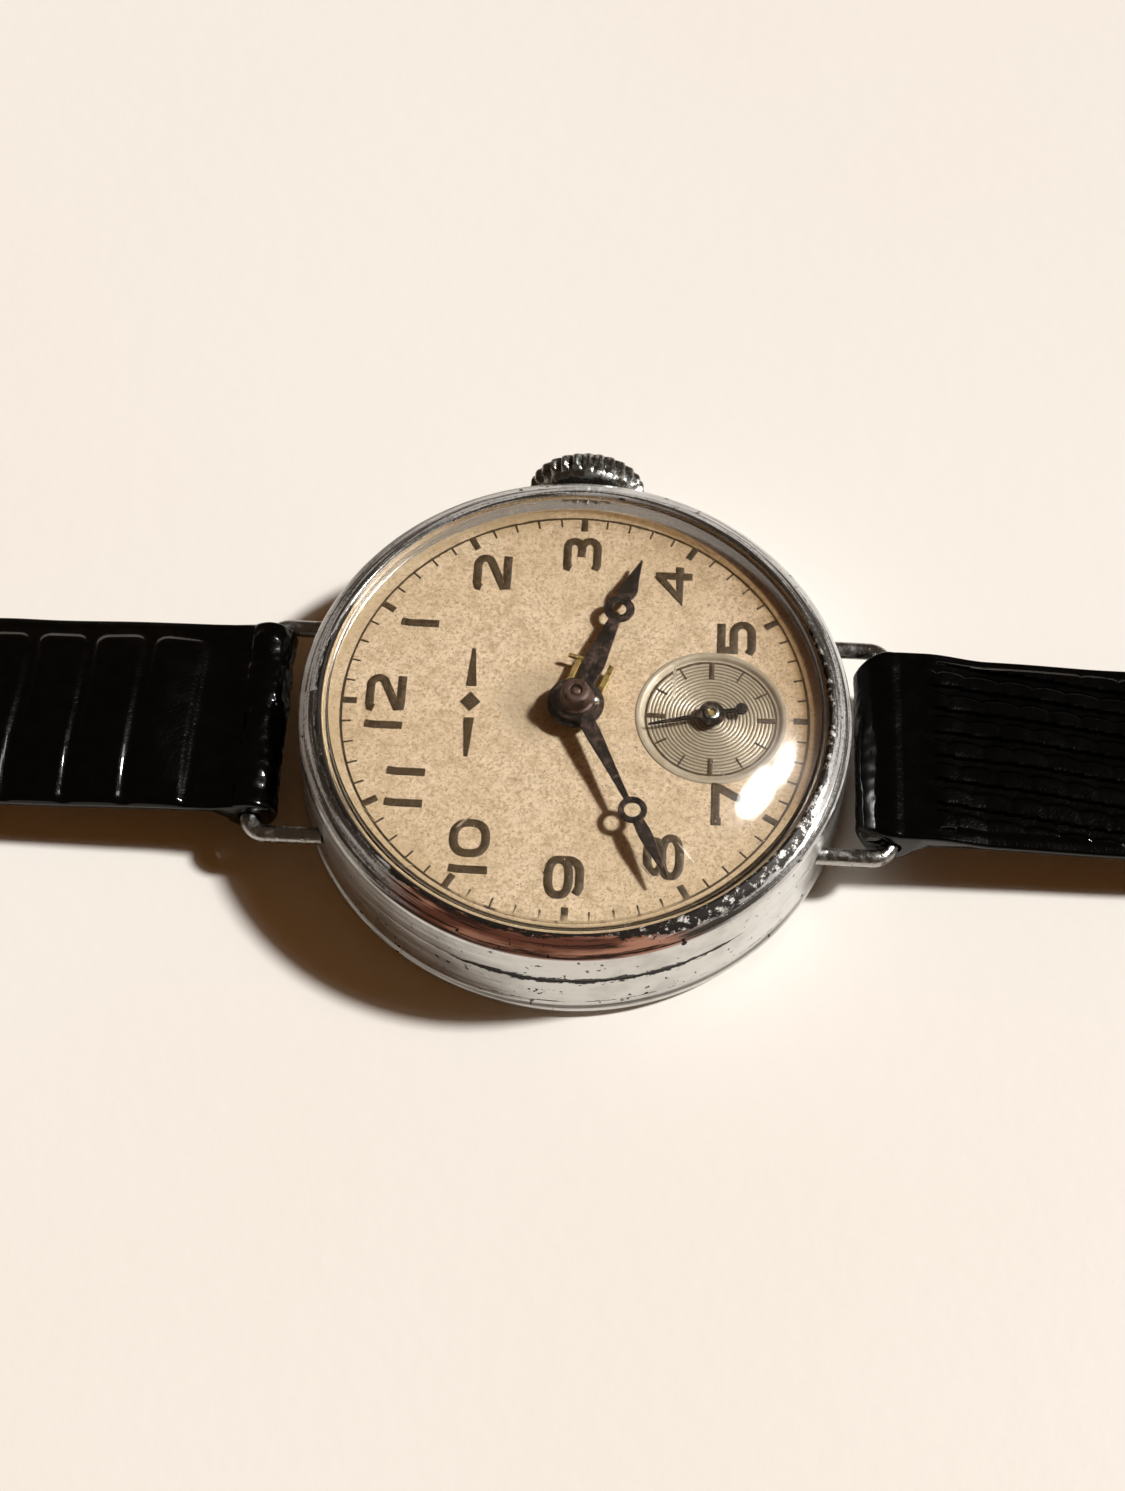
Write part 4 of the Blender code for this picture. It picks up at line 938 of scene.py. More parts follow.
def digit_strokes(digit):
    """Centre lines of one numeral, in millimetres about its middle, as (points, closed) pairs."""
    h = 0.83
    if digit == "0":
        return [(oval((0, 0), 0.80, h), True)]
    if digit == "1":
        return [([(0.0, -1.02), (0.0, 0.55), (0.06, 0.98)], False)]
    if digit == "2":
        top = [(-0.86, 0.58), (-0.80, h - 0.06), (-0.6, h)] + arc((0.42, h - 0.42), 0.42, 90, -42, 9)
        return [(top + [(-0.74, -0.62), (-0.72, -h + 0.02), (-0.5, -h), (0.98, -h)], False)]
    if digit == "3":
        upper = [(-0.82, 0.62), (-0.76, h - 0.03), (-0.5, h)] + arc((0.42, 0.44), 0.39, 90, -90, 10)
        upper += [(-0.12, 0.05)]
        lower = [(0.2, 0.02)] + arc((0.42, -0.40), 0.43, 90, -90, 10) + [(-0.6, -h), (-0.86, -0.70)]
        return [(upper, False), (lower, False)]
    if digit == "4":
        stem = [(0.46, -1.04), (0.46, 0.95)]
        return [(stem, False), ([(0.50, 0.86), (-0.92, -0.36), (1.02, -0.36)], False)]
    if digit == "5":
        bowl = arc((0.34, -0.34), 0.49, 90, -90, 12)
        flag = [(0.86, h), (-0.72, h), (-0.72, 0.15), (-0.3, 0.15)]
        return [(flag + bowl + [(-0.62, -h), (-0.9, -0.66)], False)]
    if digit == "7":
        return [([(-0.98, h - 0.3), (-0.98, h), (0.92, h), (-0.02, -1.0)], False)]
    if digit == "8":
        return [(oval((0, -0.37), 0.92, 0.46), True), (oval((0, 0.45), 0.74, 0.38), True)]
    tail = [(0.84, 0.30), (0.84, -0.20)] + arc((0.26, -0.25), 0.58, 0, -90, 9) + [(-0.5, -h), (-0.82, -0.64)]
    return [(oval((-0.03, 0.27), 0.87, 0.54), True), (tail, False)]


def make_numerals():
    """The hours 1 to 12 without 6, upright with 12 at the top."""
    low = DIAL_TOP - 0.01
    shapes = []
    for order, (digit, x, y, wide) in enumerate(NUMERALS):
        for points, closed in digit_strokes(digit):
            high = DIAL_TOP + 0.050 + 0.0015 * (len(shapes) % 4)
            points = [(u * wide, v * (1.0 + 0.01 * (order % 3))) for u, v in points]
            verts, faces = stroke(points, 0.46, low, high, closed)
            shapes.append(([(x - v, y + u, z) for u, v, z in verts], faces))
    add_piece("dial_numerals", *merge(shapes), PRINT, "case", "blued_steel", sharp=30)


def tick(centre, angle, outer, length, width, high):
    """A short painted bar that points at the centre of its circle."""
    points = [(outer - length, 0.0), (outer - length / 2, 0.0), (outer, 0.0)]
    shape = stroke(points, width, high - 0.05, high)
    return turned_about(shape, centre, angle)


def make_tracks():
    low = DIAL_TOP - 0.01
    top = DIAL_TOP + 0.03
    shapes = [lathe([(12.52, low), (12.66, low), (12.64, top), (12.54, top)], 240)]
    for minute in range(60):
        length, width = (0.52, 0.11) if minute % 5 else (0.78, 0.38)
        shapes.append(tick((0, 0), 6 * minute, 12.56, length, width, top + 0.003))
    add_piece("minute_track", *merge(shapes), PRINT, "case", "blued_steel", sharp=30)

    centre = (SUBDIAL_X, 0.0)
    level = DIAL_TOP - SUBDIAL_SINK + 0.025
    ring = offset(0, level, [(3.44, -0.05), (3.58, -0.05), (3.565, 0), (3.455, 0)])
    shapes = [lathe(ring, 160, centre)]
    for mark in range(12):
        length, width = (0.72, 0.11) if mark % 3 else (0.98, 0.30)
        shapes.append(tick(centre, 30 * mark, 3.47, length, width, level + 0.004))
    add_piece("seconds_track", *merge(shapes), PRINT, "case", "blued_steel", sharp=30)


def make_ornament():
    """A plain lozenge between two tapering bars, below 12 o'clock."""
    x = -5.7
    y = 0.25
    high = DIAL_TOP + 0.04
    lozenge = offset(x, y, [(-0.55, 0), (0, 0.62), (0.55, 0), (0, -0.62)])
    shapes = [prism([lozenge], DIAL_TOP - 0.01, high)]
    for side in (-1, 1):
        bar = offset(x, y, [(-0.28, side), (-0.1, side * 3.4), (0.1, side * 3.4), (0.28, side)])
        shapes.append(prism([bar if side > 0 else bar[::-1]], DIAL_TOP - 0.01, high))
    add_piece("dial_ornament", *merge(shapes), PRINT, "case", "blued_steel", sharp=30)


# Hands

def hand_outline(hub_r, body, ring_at, ring_r, tip):
    """Outline of an apple hand along +X; body and tip are (distance, half width) stations."""
    hub_edge = math.degrees(math.asin(body[0][1] / hub_r))
    ring_in = math.degrees(math.asin(body[-1][1] / ring_r))
    ring_out = math.degrees(math.asin(tip[0][1] / ring_r))
    outline = arc((0, 0), hub_r, hub_edge, 360 - hub_edge, 44)
    outline += [(x, -y) for x, y in body[1:-1]]
    outline += arc((ring_at, 0), ring_r, 180 + ring_in, 360 - ring_out, 22)
    outline += [(x, -y) for x, y in tip[1:]]
    outline += [(x, y) for x, y in reversed(tip[1:])]
    outline += arc((ring_at, 0), ring_r, ring_out, 180 - ring_in, 22)
    outline += [(x, y) for x, y in reversed(body[1:-1])]
    return outline


def curve_stations(points, count):
    """Stations along a smooth half-width curve through a few (distance, half width) points."""
    xs = np.array([p[0] for p in points], float)
    ys = np.array([p[1] for p in points], float)
    slopes = np.gradient(ys, xs)
    result = []
    for x in np.linspace(xs[0], xs[-1], count):
        i = min(int(np.searchsorted(xs, x, side="right")) - 1, len(xs) - 2)
        w = xs[i + 1] - xs[i]
        t = (x - xs[i]) / w
        y = ys[i] * (2 * t ** 3 - 3 * t ** 2 + 1) + slopes[i] * w * (t ** 3 - 2 * t ** 2 + t)
        y += ys[i + 1] * (3 * t ** 2 - 2 * t ** 3) + slopes[i + 1] * w * (t ** 3 - t ** 2)
        result.append((x, max(y, 0.03)))
    return result


def make_hands():
    body = curve_stations([(1.4, 0.5), (2.5, 0.62), (4.0, 0.50), (5.75, 0.33)], 16)
    tip = curve_stations([(7.2, 0.36), (7.7, 0.52), (8.8, 0.29), (9.98, 0.04)], 14)
    loops = [hand_outline(1.55, body, 6.5, 0.84, tip), ring_points(0.82, 40), ring_points(0.38, 28, (6.5, 0))]
    shape = turned_about(prism(loops, HOUR_LOW, HOUR_HIGH), (0, 0), 180 - HOUR_ANGLE)
    hour = add_piece("hour_hand_plate", *shape, BLACKENED, "hour_wheel", "blued_steel")
    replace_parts(bevel(hour, 0.035), "hour_hand")

    clips = (
        ([(0.7, -1.1), (2.9, -1.12), (3.0, -0.8), (0.7, -0.78)], 0.08, -0.22, 0.0),
        ([(0.7, 0.7), (2.75, 0.72), (2.75, 1.0), (0.7, 1.02)], 0.08, -0.22, 0.0),
        ([(2.7, 0.3), (2.95, 0.32), (2.85, 1.5), (2.65, 1.5)], 0.06, -0.12, 0.06),
    )
    shapes = [prism([soften(outline, corner, 3)], HOUR_LOW + low, HOUR_LOW + high)
              for outline, corner, low, high in clips]
    shape = turned_about(merge(shapes), (0, 0), 180 - HOUR_ANGLE)
    bevel(add_piece("hour_hand_clips", *shape, BRASS, "hour_wheel", "brass"), 0.02)

    body = curve_stations([(1.2, 0.46), (2.6, 0.42), (4.6, 0.27), (6.6, 0.16)], 16)
    tip = curve_stations([(8.0, 0.3), (8.7, 0.36), (10.0, 0.25), (11.58, 0.04)], 14)
    loops = [hand_outline(1.3, body, 7.3, 0.77, tip), ring_points(0.54, 36), ring_points(0.43, 28, (7.3, 0))]
    shape = turned_about(prism(loops, MINUTE_LOW, MINUTE_HIGH), (0, 0), 180 - MINUTE_ANGLE)
    minute = add_piece("minute_hand_plate", *shape, BLACKENED, "centre_wheel", "blued_steel")
    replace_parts(bevel(minute, 0.035), "minute_hand")

    seat = MINUTE_HIGH - 0.02
    cap = offset(0, seat, [(0.53, 0), (1.00, 0), (1.02, 0.12), (0.86, 0.22), (0.78, 0.72), (0.74, 0.90)])
    cap += offset(0, seat, [(0.62, 0.97), (0.34, 0.98), (0.31, 0.90), (0.31, 0.6), (0.53, 0.4)])
    add_piece("cannon_cap", *lathe(soften(cap, 0.05, 3), 72), RUSTY, "centre_wheel", "blued_steel")
    pin = offset(0, seat, [(0, 0.1), (0.3, 0.1), (0.3, 0.84), (0.24, 0.92), (0.12, 0.95), (0, 0.96)])
    add_piece("arbor_tip", *lathe(pin, 48), RUSTY, "centre_wheel", "steel")
    # A polished steel bead beside the hub, standing in for the glint of the lamp on the hub.
    bead = [(0.27 * math.sin(a), seat + 0.10 - 0.27 * math.cos(a)) for a in np.linspace(0, math.pi, 16)]
    bead[0] = (0, bead[0][1])
    bead[-1] = (0, bead[-1][1])
    add_piece("hub_glint_bead", *lathe(bead, 32, (1.02, -0.12)), POLISHED, "centre_wheel", "steel")

    hub_r = 0.72
    ball_r = 0.34
    hub_edge = math.degrees(math.asin(0.12 / hub_r))
    ball_edge = math.degrees(math.asin(0.11 / ball_r))
    outline = arc((0, 0), hub_r, hub_edge, 180 - hub_edge, 22)
    outline += arc((-1.65, 0), ball_r, ball_edge, 360 - ball_edge, 24)
    outline += arc((0, 0), hub_r, 180 + hub_edge, 360 - hub_edge, 22)
    outline += [(2.0, -0.10), (3.48, -0.05), (3.48, 0.05), (2.0, 0.10)]
    place = (SUBDIAL_X, 0.0)
    flat = prism([outline, ring_points(0.2, 24)], SECONDS_LOW, SECONDS_HIGH)
    shape = turned_about(flat, place, 180 - SECOND_ANGLE)
    second = add_piece("seconds_hand_plate", *shape, BLACKENED, "fourth_wheel", "blued_steel")
    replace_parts(bevel(second, 0.025), "seconds_hand")
    steps = [(0.20, -0.02), (0.42, -0.02), (0.40, 0.10), (0.33, 0.14), (0.22, 0.14), (0.20, 0.10)]
    boss = offset(0, SECONDS_HIGH, steps)
    add_piece("seconds_hand_boss", *lathe(boss, 48, place), STEEL, "fourth_wheel", "steel")


# Crown

def make_crown():
    teeth = 28
    per_tooth = 12
    segments = teeth * per_tooth
    depth = 0.36
    length = CROWN_HIGH_Y - CROWN_LOW_Y
    bore_r = 0.66
    inner_face = [(-0.85, 0), (-0.55, 0.06), (-0.42, 0.20), (-0.36, 0.42), (-0.10, 0.58), (0, 0.68)]
    outer_face = [(0, -0.62), (-0.06, -0.42), (-0.32, -0.20), (-0.75, -0.10), (-1.4, -0.04)]
    profile = [(bore_r, 0.0), *offset(CROWN_R, 0, inner_face), *offset(CROWN_R, length, outer_face)]
    profile += [(1.1, length), (0.35, length), (0.02, length), (0.02, 1.2), (bore_r, 1.2)]
    verts = []
    for radius, height in profile:
        bite = float(ease(radius, CROWN_R - 0.5, CROWN_R - 0.02) * ease(height, 0.42, 0.62))
        for k in range(segments):
            phase = k % per_tooth / per_tooth
            valley = max(0.0, 1 - abs(phase - 0.5) / 0.36)
            reach = radius - depth * bite * valley ** 0.8
            angle = 2 * math.pi * k / segments
            verts.append((reach * math.cos(angle), reach * math.sin(angle), CROWN_LOW_Y + height))
    faces = grid_faces(len(profile), segments, wrap_rows=True, wrap_columns=True)
    shape = laid_along_y((verts, faces))
    crown = add_piece("knurled_crown", *shape, CROWN_METAL, "stem", "chrome_case", sharp=35)
    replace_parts(crown, "crown")


# Strap

def strap_low(d, rest):
    """Height of the strap's underside."""
    return STRAP_LIFT + 0.35 * (1 - ease(d, 20, 31)) + (rest - STRAP_LIFT) * ease(d, 30, 52)


def strap_top(d, rest):
    """Height of the strap's long edges."""
    return strap_low(d, rest) + EDGE_THICK


def strap_split(d, rest):
    """Height of the seam between the upper and the lining."""
    return strap_top(d, rest) - UPPER_SHARE * EDGE_THICK


def strap_half(d, end, pointed):
    """Half the strap's width."""
    half = STRAP_HALF + (STRAP_END_HALF - STRAP_HALF) * ease(d, 31, 75)
    if pointed:
        into = np.clip((d - (end - 6)) / 6, 0.0, 1.0)
        half = half * (1 - 0.85 * into ** 2.2)
    return half


def strap_last(strap):
    """Where the flat stretch ends: at the point, or where the leather turns back round the buckle bar."""
    return strap.end if strap.pointed else strap.end - TURN_BACK


def rounded_cell(u, v, half_u, half_v, corner):
    """Distance inside a rounded rectangle: positive inside, negative outside."""
    qu = np.abs(u) - half_u + corner
    qv = np.abs(v) - half_v + corner
    outside = np.hypot(np.maximum(qu, 0), np.maximum(qv, 0)) + np.minimum(np.maximum(qu, qv), 0) - corner
    return -outside


def wobble(d, y, scale, seed):
    """Smooth noise over the strap's plan, about -1 to 1."""
    flat_d = np.ravel(d)
    flat_y = np.ravel(y)
    values = [noise.noise(Vector((a * scale, b * scale, seed))) for a, b in zip(flat_d, flat_y)]
    return np.array(values).reshape(np.shape(d)) * 1.6


def barred_scales(d, y, half):
    """The 12 o'clock side: wide crosswise scales with a plain margin at the far edge."""
    pitch = 3.3
    shift = 0.30 * wobble(d, y, 0.12, 3.0) + 0.035 * y
    along = (d - 20.6 + shift) / pitch
    u = (along - np.floor(along) - 0.5) * pitch
    near_edge = half + 3.0
    far_edge = half - 1.15 + 0.15 * wobble(d, y, 0.2, 8.0)
    centre = (far_edge - near_edge) / 2
    inside = rounded_cell(u, y - centre, pitch / 2 - 0.14, (far_edge + near_edge) / 2, 0.75)
    plateau = ease(inside, -0.05, 0.36)
    crown = 0.05 * np.clip(1 - (u / (pitch / 2)) ** 2, 0, 1)
    return (0.16 * plateau + crown * plateau) * ease(d, 20.0, 21.2) - 0.11


def rowed_scales(d, y, half):
    """The 6 o'clock side: lengthwise rows with scalloped far edges, each lapping the next."""
    row = 1.50
    pitch = 1.85
    slant = y + 0.085 * (d - 20) + 0.20 * wobble(d, y, 0.10, 5.0)
    nearest = np.round(slant / row)
    phase = (d + 0.8 * nearest + 0.3 * wobble(d, y, 0.3, 1.0)) / pitch
    across = 2 * (phase - np.floor(phase)) - 1
    scallop = 0.26 * (np.sqrt(np.maximum(1 - across ** 2, 0)) - 0.6)
    past = slant - nearest * row - scallop
    near_rise = ease(1 + (past + 0.05) / row, 0.15, 0.62)
    far_fall = 0.5 + 0.5 * np.cos(np.pi * np.clip((past + 0.05) / 0.40, 0, 1))
    lap = np.where(past < -0.05, near_rise, far_fall)
    notch = 0.02 * np.exp(-((1 - np.abs(across)) / 0.18) ** 2) * ease(np.abs(past + 0.3), 0.8, 0.2)
    margin = ease(half - np.abs(y), 0.45, 0.8)
    return (0.26 * lap - notch) * margin * ease(d, 18.9, 20.2) - 0.13


def edge_bead(y, half):
    """A thin raised line just inside each long edge."""
    return 0.05 * np.exp(-((half - np.abs(y) - 0.40) / 0.11) ** 2)


def round_axis(kind, d, z):
    """Distance from the lug wire or the buckle bar, and where that is."""
    centre = (LUG_X, LUG_Z) if kind == "roll" else (BUCKLE_X, BUCKLE_Z)
    return np.hypot(d - centre[0], z - centre[1]), centre


def upper_outline(strap):
    """The upper's long section in parts: their kinds, distances along the strap and heights."""
    last = strap_last(strap)
    near = np.arange(LUG_X + 0.55 if strap.pointed else SEWN_AT + 0.1, STRAIGHT_AT, 0.13)
    stations = np.append(near, np.linspace(STRAIGHT_AT, last, int((last - STRAIGHT_AT) / 0.26)))
    back = np.array([SEWN_AT + 0.1, 22, 26, *range(30, 55, 3), 60, 66, 72, 80, 90, 100, 110])
    back = np.append(back[back < last - 6], last - np.array([5, 4, 3, 2, 1.2, 0.6, 0]))

    roll = roll_angles(strap)
    reach = np.where(np.cos(roll) < 0, CASE_SIDE_REACH, 1.0) if strap.pointed else 1.0
    parts = [("roll", LUG_X + ROLL_R * np.cos(roll) * reach, LUG_Z + ROLL_R * np.sin(roll))]
    parts.append(("top", stations, strap_top(stations, strap.rest)))
    if not strap.pointed:
        turn = np.radians(np.linspace(120, -140, 26))
        parts.append(("end", BUCKLE_X + 1.3 * np.cos(turn), BUCKLE_Z + 1.3 * np.sin(turn)))
    parts.append(("split", back[::-1], strap_split(back, strap.rest)[::-1]))
    return parts


def roll_angles(strap):
    """How far round the lug wire the leather goes, as angles from the far side of the wire."""
    return np.radians(np.linspace(-14, -284 if strap.pointed else -312, 52))


def pad_top(strap, d, y, z, half, into):
    """Raise the top face: its padding, its run up to the roll, and the scales pressed into it."""
    start = SEWN_AT
    pillow = strap.pad * (1 - np.abs(y / half) ** 2.4) * ease(d, start, start + 4)
    pillow = pillow * (1 - 0.6 * ease(d, 45, 75))
    join = 1 - ease(d, start, start + (3.6 if strap.pointed else 1.4))
    rise = (LUG_Z + ROLL_R - 0.02 - z) * join * (1.0 if strap.pointed else 0.1)
    relief = strap.scales(d, y, half) + edge_bead(y, half) * ease(d, start + 0.6, start + 2.0)
    calm = ease(strap.end - d, 0.3, 2.2) if strap.pointed else ease(strap_last(strap) - d, 0.0, 1.5)
    ripple = 0.05 * wobble(d, y, 0.22, 11.0) * ease(d, start, start + 3)
    return z + (pillow + rise + relief * calm * (1 - into)) + ripple


def crumple_roll(strap, kind, d, y, z, drop, into):
    """Crease the leather where it goes round the lug wire or the buckle bar."""
    radius, centre = round_axis(kind, d, z)
    crumple = 0.10 * wobble(z * 2.0, y, 0.75, 2.0) + 0.05 * wobble(z * 2.0, y, 2.0, 4.0)
    fade = 0.3
    if kind == "roll":
        fade = ease(np.degrees(-roll_angles(strap)), 60, 170) * (0.35 if strap.pointed else 1.0)
    size = (radius - drop + crumple * fade * (1 - 0.6 * into)) / radius
    return centre[0] + (d - centre[0]) * size, centre[1] + (z - centre[1]) * size


def upper_points(strap):
    """Points over the whole upper: rows across the strap, columns round its section."""
    t = np.linspace(0, 1, strap.columns)
    t = np.append(t[t < 0.93], [0.945, 0.958, 0.970, 0.980, 0.988, 0.994, 0.998, 1.0])
    inner = np.concatenate([-t[::-1], t[1:]])
    sheets = []
    for kind, ds, zs in upper_outline(strap):
        d = np.repeat(ds[None, :], len(inner), 0)
        z = np.repeat(zs[None, :], len(inner), 0)
        half = strap_half(d, strap.end, strap.pointed) - (0.2 if kind == "split" else 0.0)
        if kind == "roll" and strap.pointed:
            half = half - 0.9 * np.clip((LUG_X - d) / 1.9, 0, 1) ** 2
        y = inner[:, None] * half
        into = np.clip((np.abs(y) - (half - EDGE_ROUND)) / EDGE_ROUND, 0, 1)
        drop = EDGE_ROUND * (1 - np.sqrt(np.maximum(1 - into ** 2, 0)))
        if kind == "top":
            z = pad_top(strap, d, y, z, half, into) - drop
        elif kind in ("roll", "end"):
            d, z = crumple_roll(strap, kind, d, y, z, drop, into)
        sheets.append(np.stack([strap.side * d, y, z], axis=2))
    return np.concatenate(sheets, axis=1)


def leather_upper(strap):
    """The outer leather: rolled round the lug wire, padded, and pressed with scales."""
    points = upper_points(strap)
    across, columns = points.shape[:2]
    bm = bmesh.new()
    made = [bm.verts.new(v) for v in points.reshape(-1, 3)]
    for face in grid_faces(across, columns, wrap_columns=True):
        bm.faces.new([made[k] for k in face])
    channels = [(LUG_X, LUG_Z, CHANNEL_R)]
    if not strap.pointed:
        channels.append((BUCKLE_X, BUCKLE_Z, 0.5))
    ends = []
    for j in (0, across - 1):
        loops = [[made[j * columns + k] for k in range(columns)]]
        y = points[j, 0, 1]
        for d, z, radius in channels:
            loops.append([bm.verts.new((strap.side * a, y, b)) for a, b in ring_points(radius, 28, (d, z))])
        edges = []
        for loop in loops:
            for k in range(len(loop)):
                edge = bm.edges.get((loop[k - 1], loop[k]))
                edges.append(edge or bm.edges.new((loop[k - 1], loop[k])))
        bmesh.ops.triangle_fill(bm, edges=edges, use_beauty=True)
        ends.append(loops[1:])
    for first, second in zip(*ends):
        for k in range(len(first)):
            bm.faces.new((first[k - 1], first[k], second[k], second[k - 1]))
    body = f"strap_{strap.hour}"
    thing = add_piece(f"{body}_leather", *taken(bm), LEATHER, body, "strap_leather", sharp=60)
    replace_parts(thing, f"{body}_upper")
    return thing


def leather_lining(strap):
    """The flat lining under the upper, with rounded lower edges."""
    last = strap_last(strap) - 0.3
    ds = np.linspace(SEWN_AT, last, int((last - SEWN_AT) / 0.8))
    half = strap_half(ds, strap.end, strap.pointed)
    top = strap_split(ds, strap.rest) - SEAM_GAP
    low = strap_low(ds, strap.rest)
    points = []
    shares = np.linspace(-1, 1, 33)
    for share in shares:
        points += zip(strap.side * ds, share * (half - 0.22), top)
        points += zip(strap.side * ds[::-1], (share * (half - 0.42))[::-1], low[::-1])
    columns = 2 * len(ds)
    faces = grid_faces(len(shares), columns, wrap_columns=True)
    for j in (0, len(shares) - 1):
        for k in range(len(ds) - 1):
            first = j * columns + k
            other = j * columns + columns - 1 - k
            faces.append((first, first + 1, other - 1, other))
    body = f"strap_{strap.hour}"
    thing = add_piece(f"{body}_backing", points, faces, LINING, body, "lining_leather", sharp=50)
    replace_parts(thing, f"{body}_lining")
    return thing


def make_straps():
    six = Half("6", 1, STRAP_6_END, 0.0, True, rowed_scales, 0.35, 62)
    upper = leather_upper(six)
    lining = leather_lining(six)
    holes = [ring_points(HOLE_R, 32, (STRAP_6_END - TIP_TO_HOLES - HOLE_PITCH * i, 0.0)) for i in range(6)]
    punches = merge([prism([hole], -1, 5) for hole in holes])
    carve(upper, punches)
    carve(lining, punches)

    twelve = Half("12", -1, BUCKLE_X, KEEPER_LIFT, False, barred_scales, 0.85, 40)
    upper = leather_upper(twelve)
    leather_lining(twelve)
    slot = offset(-BUCKLE_X, 0, [(-2, -1), (1.9, -1), (1.9, 1), (-2, 1)])
    carve(upper, prism([soften(slot, 0.5)], -1, 4))


def make_keepers():
    """Two narrow leather bands round the strap."""
    section = squarish(0.26, 1.95, (0.6, 0.35), 40)
    corner = 0.75
    for name, node, body in (("keeper_band_fixed", "keeper_fixed", "strap_12"),
                             ("keeper_band_free", "keeper_free", "keeper_free")):
        low, high = low_high(node)
        middle = (low.x + high.x) / 2
        half, bottom, top = high.y - 0.27, low.z + 0.27, high.z - 0.27
        path = arc((half - corner, top - corner), corner, 0, 90, 9)
        path += [(y, top) for y in np.linspace(half - corner, corner - half, 16)[1:-1]]
        path += arc((corner - half, top - corner), corner, 90, 180, 9)
        path += arc((corner - half, bottom + corner), corner, 180, 270, 9)
        path += [(y, bottom) for y in np.linspace(corner - half, half - corner, 16)[1:-1]]
        path += arc((half - corner, bottom + corner), corner, 270, 360, 9)
        count = len(path)
        verts = []
        for i, (y, z) in enumerate(path):
            along = Vector(path[(i + 1) % count]) - Vector(path[i - 1])
            out = Vector((along.y, -along.x)).normalized()
            verts += [(middle + b, y + out.x * a, z + out.y * a) for a, b in section]
        faces = grid_faces(count, len(section), wrap_rows=True, wrap_columns=True)
        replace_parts(add_piece(name, verts, faces, LEATHER, body, "strap_leather"), node)


# Buckle

def make_buckle():
    half = BAR_HIGH.y - 0.55
    front = BUCKLE_X + 8.05
    corner = 1.9
    path = [(BUCKLE_X - x, -half) for x in (0.95, 0.80, 0.45, 0.0)]
    path += [(x, -half) for x in np.linspace(BUCKLE_X + 1.0, front - corner, 8)]
    path += arc((front - corner, corner - half), corner, -90, 0, 12)[1:]
    path += [(front, y) for y in np.linspace(corner - half, half - corner, 12)[1:-1]]
    path += arc((front - corner, half - corner), corner, 0, 90, 12)
    path += [(x, half) for x in np.linspace(front - corner, BUCKLE_X + 1.0, 8)[1:]]
    path += [(BUCKLE_X - x, half) for x in (0.0, 0.45, 0.80, 0.95)]
    path = [(-x, y, BUCKLE_Z) for x, y in path]
    section = squarish(0.62, 0.68, (0.75, 0.75), 36)
    last = len(path) - 1

    def girth(t):
        into = min(t, 1 - t) * last
        ends = math.sqrt(max(0.05, 1 - (1 - min(into / 2.5, 1.0)) ** 2))
        return ends * (1.0 + 0.18 * float(ease(0.5 - abs(t - 0.5), 0.36, 0.44)))

    loop = sweep(path, section, (0, 0, 1), girth)
    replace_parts(add_piece("buckle_loop", *loop, PLAIN_CHROME, "buckle", "chrome_case"), "buckle_frame")

    reach = BAR_HIGH.y
    stations = (-reach, -reach + 0.05, -reach + 0.16, 0, reach - 0.16, reach - 0.05, reach)
    thickness = (0.55, 0.85, 1.0, 1.0, 1.0, 0.85, 0.55)
    path = [(-BUCKLE_X, y, BUCKLE_Z) for y in stations]
    bar = sweep(path, ring_points(BAR_R, 24), (0, 0, 1), lambda t: thickness[round(t * 6)])
    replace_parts(add_piece("spring_bar", *bar, STEEL, "buckle", "steel"), "buckle_bar")

    eye = 0.92
    outline = arc((0, BUCKLE_Z), eye, -40, -290, 26)
    outline += offset(0, BUCKLE_Z, [(1.4, 1.22), (3.5, 1.50), (6.5, 1.50), (8.0, 1.45), (8.75, 1.30)])
    outline += offset(0, BUCKLE_Z, [(8.9, 1.08), (8.6, 0.92), (6.8, 0.78), (3.5, 0.72), (1.6, 0.30)])
    loops = [outline, ring_points(BAR_R + 0.05, 28, (0, BUCKLE_Z))]
    verts, faces = prism(loops, -0.7, 0.7)
    narrow = [(px, pz, py * (1 - 0.35 * float(ease(px, 5.5, 8.9)))) for px, pz, py in verts]
    verts = [(-BUCKLE_X - px, py, pz) for px, pz, py in narrow]
    tongue = add_piece("buckle_prong", verts, faces, PLAIN_CHROME, "tongue", "chrome_case")
    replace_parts(bevel(tongue, 0.16, 4, 40), "buckle_tongue")


def dress_frame():
    """Each CAD node that stays visible gets the finish of its slot."""
    for subpart in frame["record"]["subparts"]:
        node = frame["nodes"][subpart["node"]]
        node.data.materials.clear()
        node.data.materials.append(SLOT_LOOKS[subpart["material_slot"]])


# Stage, light and camera

def far_lamp(name, spread, strength):
    """A distant soft light: `spread` is the angle in degrees across which it is seen."""
    data = bpy.data.lights.new(name, "SUN")
    data.angle = math.radians(spread)
    data.energy = strength
    data.color = (1.0, 0.985, 0.965)
    thing = bpy.data.objects.new(name, data)
    a = math.radians(LIGHT_AZIMUTH)
    e = math.radians(LIGHT_HEIGHT)
    towards = Vector((math.cos(e) * math.cos(a), math.cos(e) * math.sin(a), math.sin(e)))
    thing.rotation_euler = towards.to_track_quat("Z", "Y").to_euler()
    bpy.context.scene.collection.objects.link(thing)


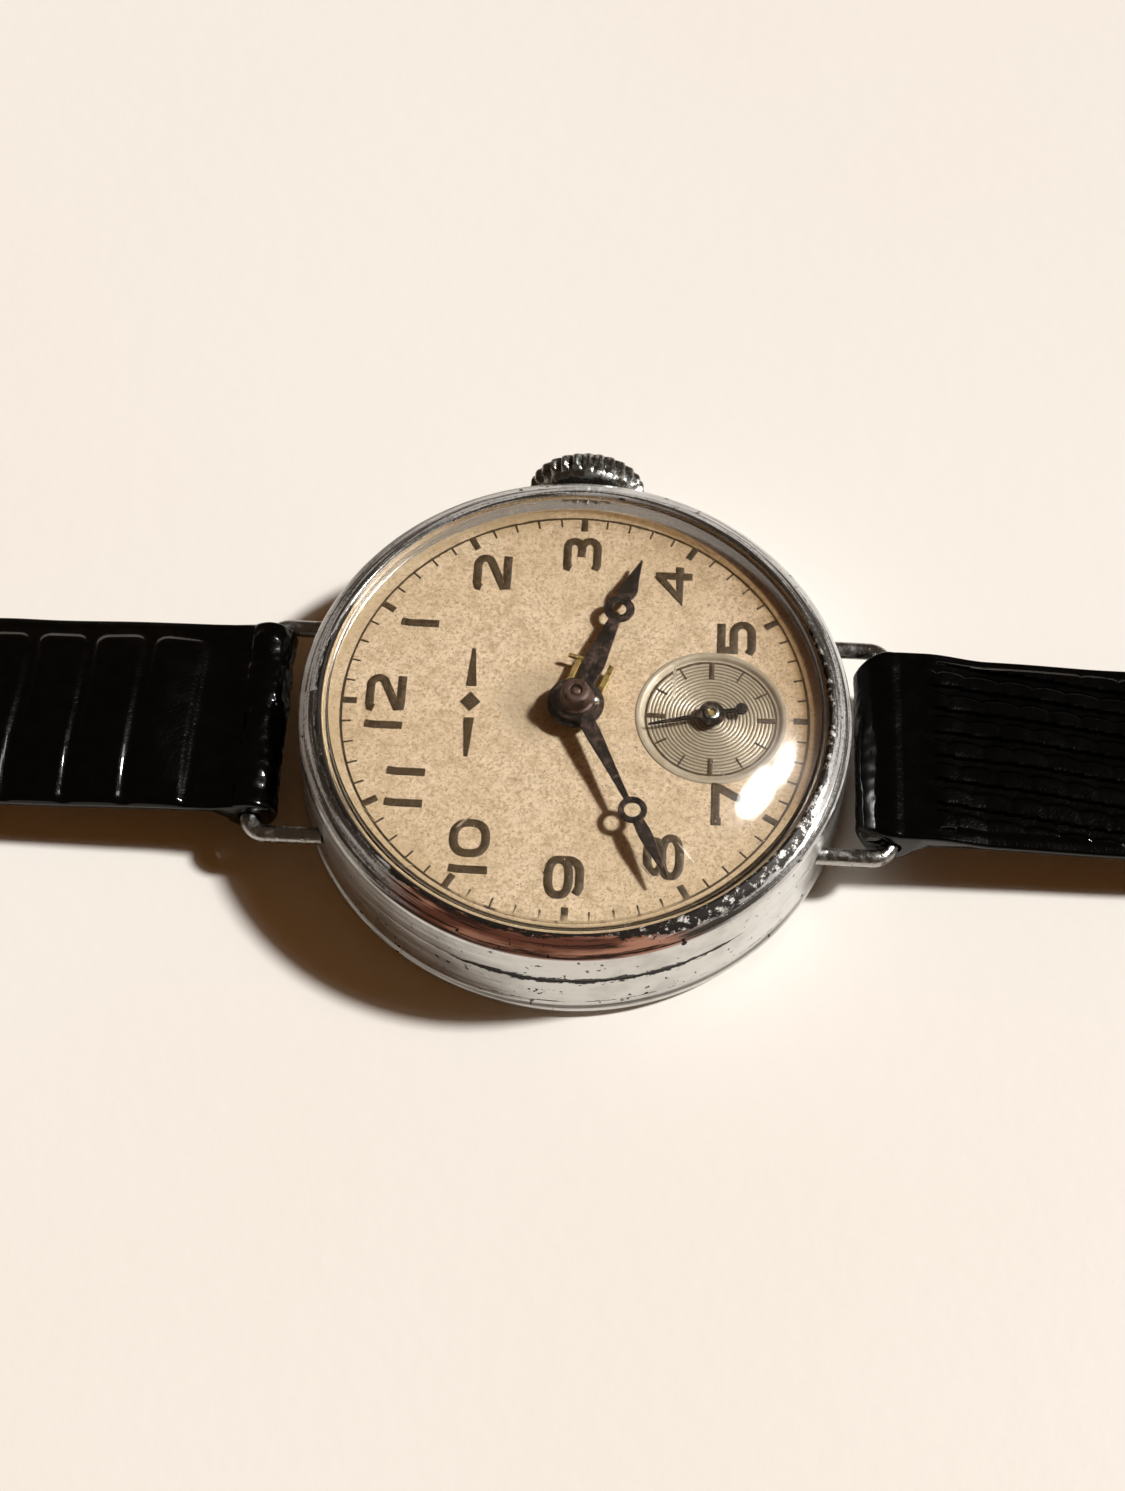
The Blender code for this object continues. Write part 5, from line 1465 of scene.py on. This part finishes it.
def make_room():
    """Warm dim fill light; metal and glass mirror walls instead, and the camera sees a pale backdrop."""
    world = bpy.data.worlds.new("room")
    bpy.context.scene.world = world
    world.use_nodes = True
    nodes = world.node_tree.nodes
    links = world.node_tree.links
    seen = nodes["Background"]
    seen.inputs["Color"].default_value = (1.0, 0.40, 0.07, 1.0)
    seen.inputs["Strength"].default_value = 0.09
    paths = nodes.new("ShaderNodeLightPath")
    for ray, colour, strength in (("Is Glossy Ray", (0.90, 0.62, 0.40, 1.0), 0.07),
                                  ("Is Camera Ray", (0.90, 0.86, 0.79, 1.0), 1.0)):
        other = nodes.new("ShaderNodeBackground")
        other.inputs["Color"].default_value = colour
        other.inputs["Strength"].default_value = strength
        mixed = nodes.new("ShaderNodeMixShader")
        links.new(paths.outputs[ray], mixed.inputs[0])
        links.new(seen.outputs[0], mixed.inputs[1])
        links.new(other.outputs[0], mixed.inputs[2])
        seen = mixed
    links.new(seen.outputs[0], nodes["World Output"].inputs["Surface"])


def make_stage():
    half = 20000.0
    low = -0.03
    mesh = bpy.data.meshes.new("table")
    corners = [(-half, -half, low), (half, -half, low), (half, half, low), (-half, half, low)]
    mesh.from_pydata([tuple(c * MM for c in corner) for corner in corners], [], [(0, 1, 2, 3)])
    mesh.materials.append(table_look("table_top"))
    table = bpy.data.objects.new("table", mesh)
    bpy.context.scene.collection.objects.link(table)
    far_lamp("key", 6.0, 3.85)
    far_lamp("glow", 15.0, 0.45)
    make_room()


def make_camera():
    data = bpy.data.cameras.new("camera")
    data.sensor_fit = "VERTICAL"
    data.sensor_height = CAMERA_FILM
    data.lens = CAMERA_LENS
    data.clip_start = 0.005
    data.clip_end = 20.0
    camera = bpy.data.objects.new("camera", data)
    place = Vector(CAMERA_AT)
    back = (place - Vector(CAMERA_TO)).normalized()
    right = Vector((0, 0, 1)).cross(back).normalized()
    up = back.cross(right)
    turn = math.radians(CAMERA_ROLL)
    rolled_right = right * math.cos(turn) + up * math.sin(turn)
    rolled_up = up * math.cos(turn) - right * math.sin(turn)
    matrix = Matrix((rolled_right, rolled_up, back)).transposed().to_4x4()
    matrix.translation = place * MM
    camera.matrix_world = matrix
    bpy.context.scene.collection.objects.link(camera)
    bpy.context.scene.camera = camera
    bpy.context.scene.view_settings.view_transform = "Standard"


make_camera()
make_stage()
dress_frame()
make_case()
make_crystal()
make_lug_wires()
make_dial()
make_numerals()
make_tracks()
make_ornament()
make_hands()
make_crown()
make_straps()
make_keepers()
make_buckle()
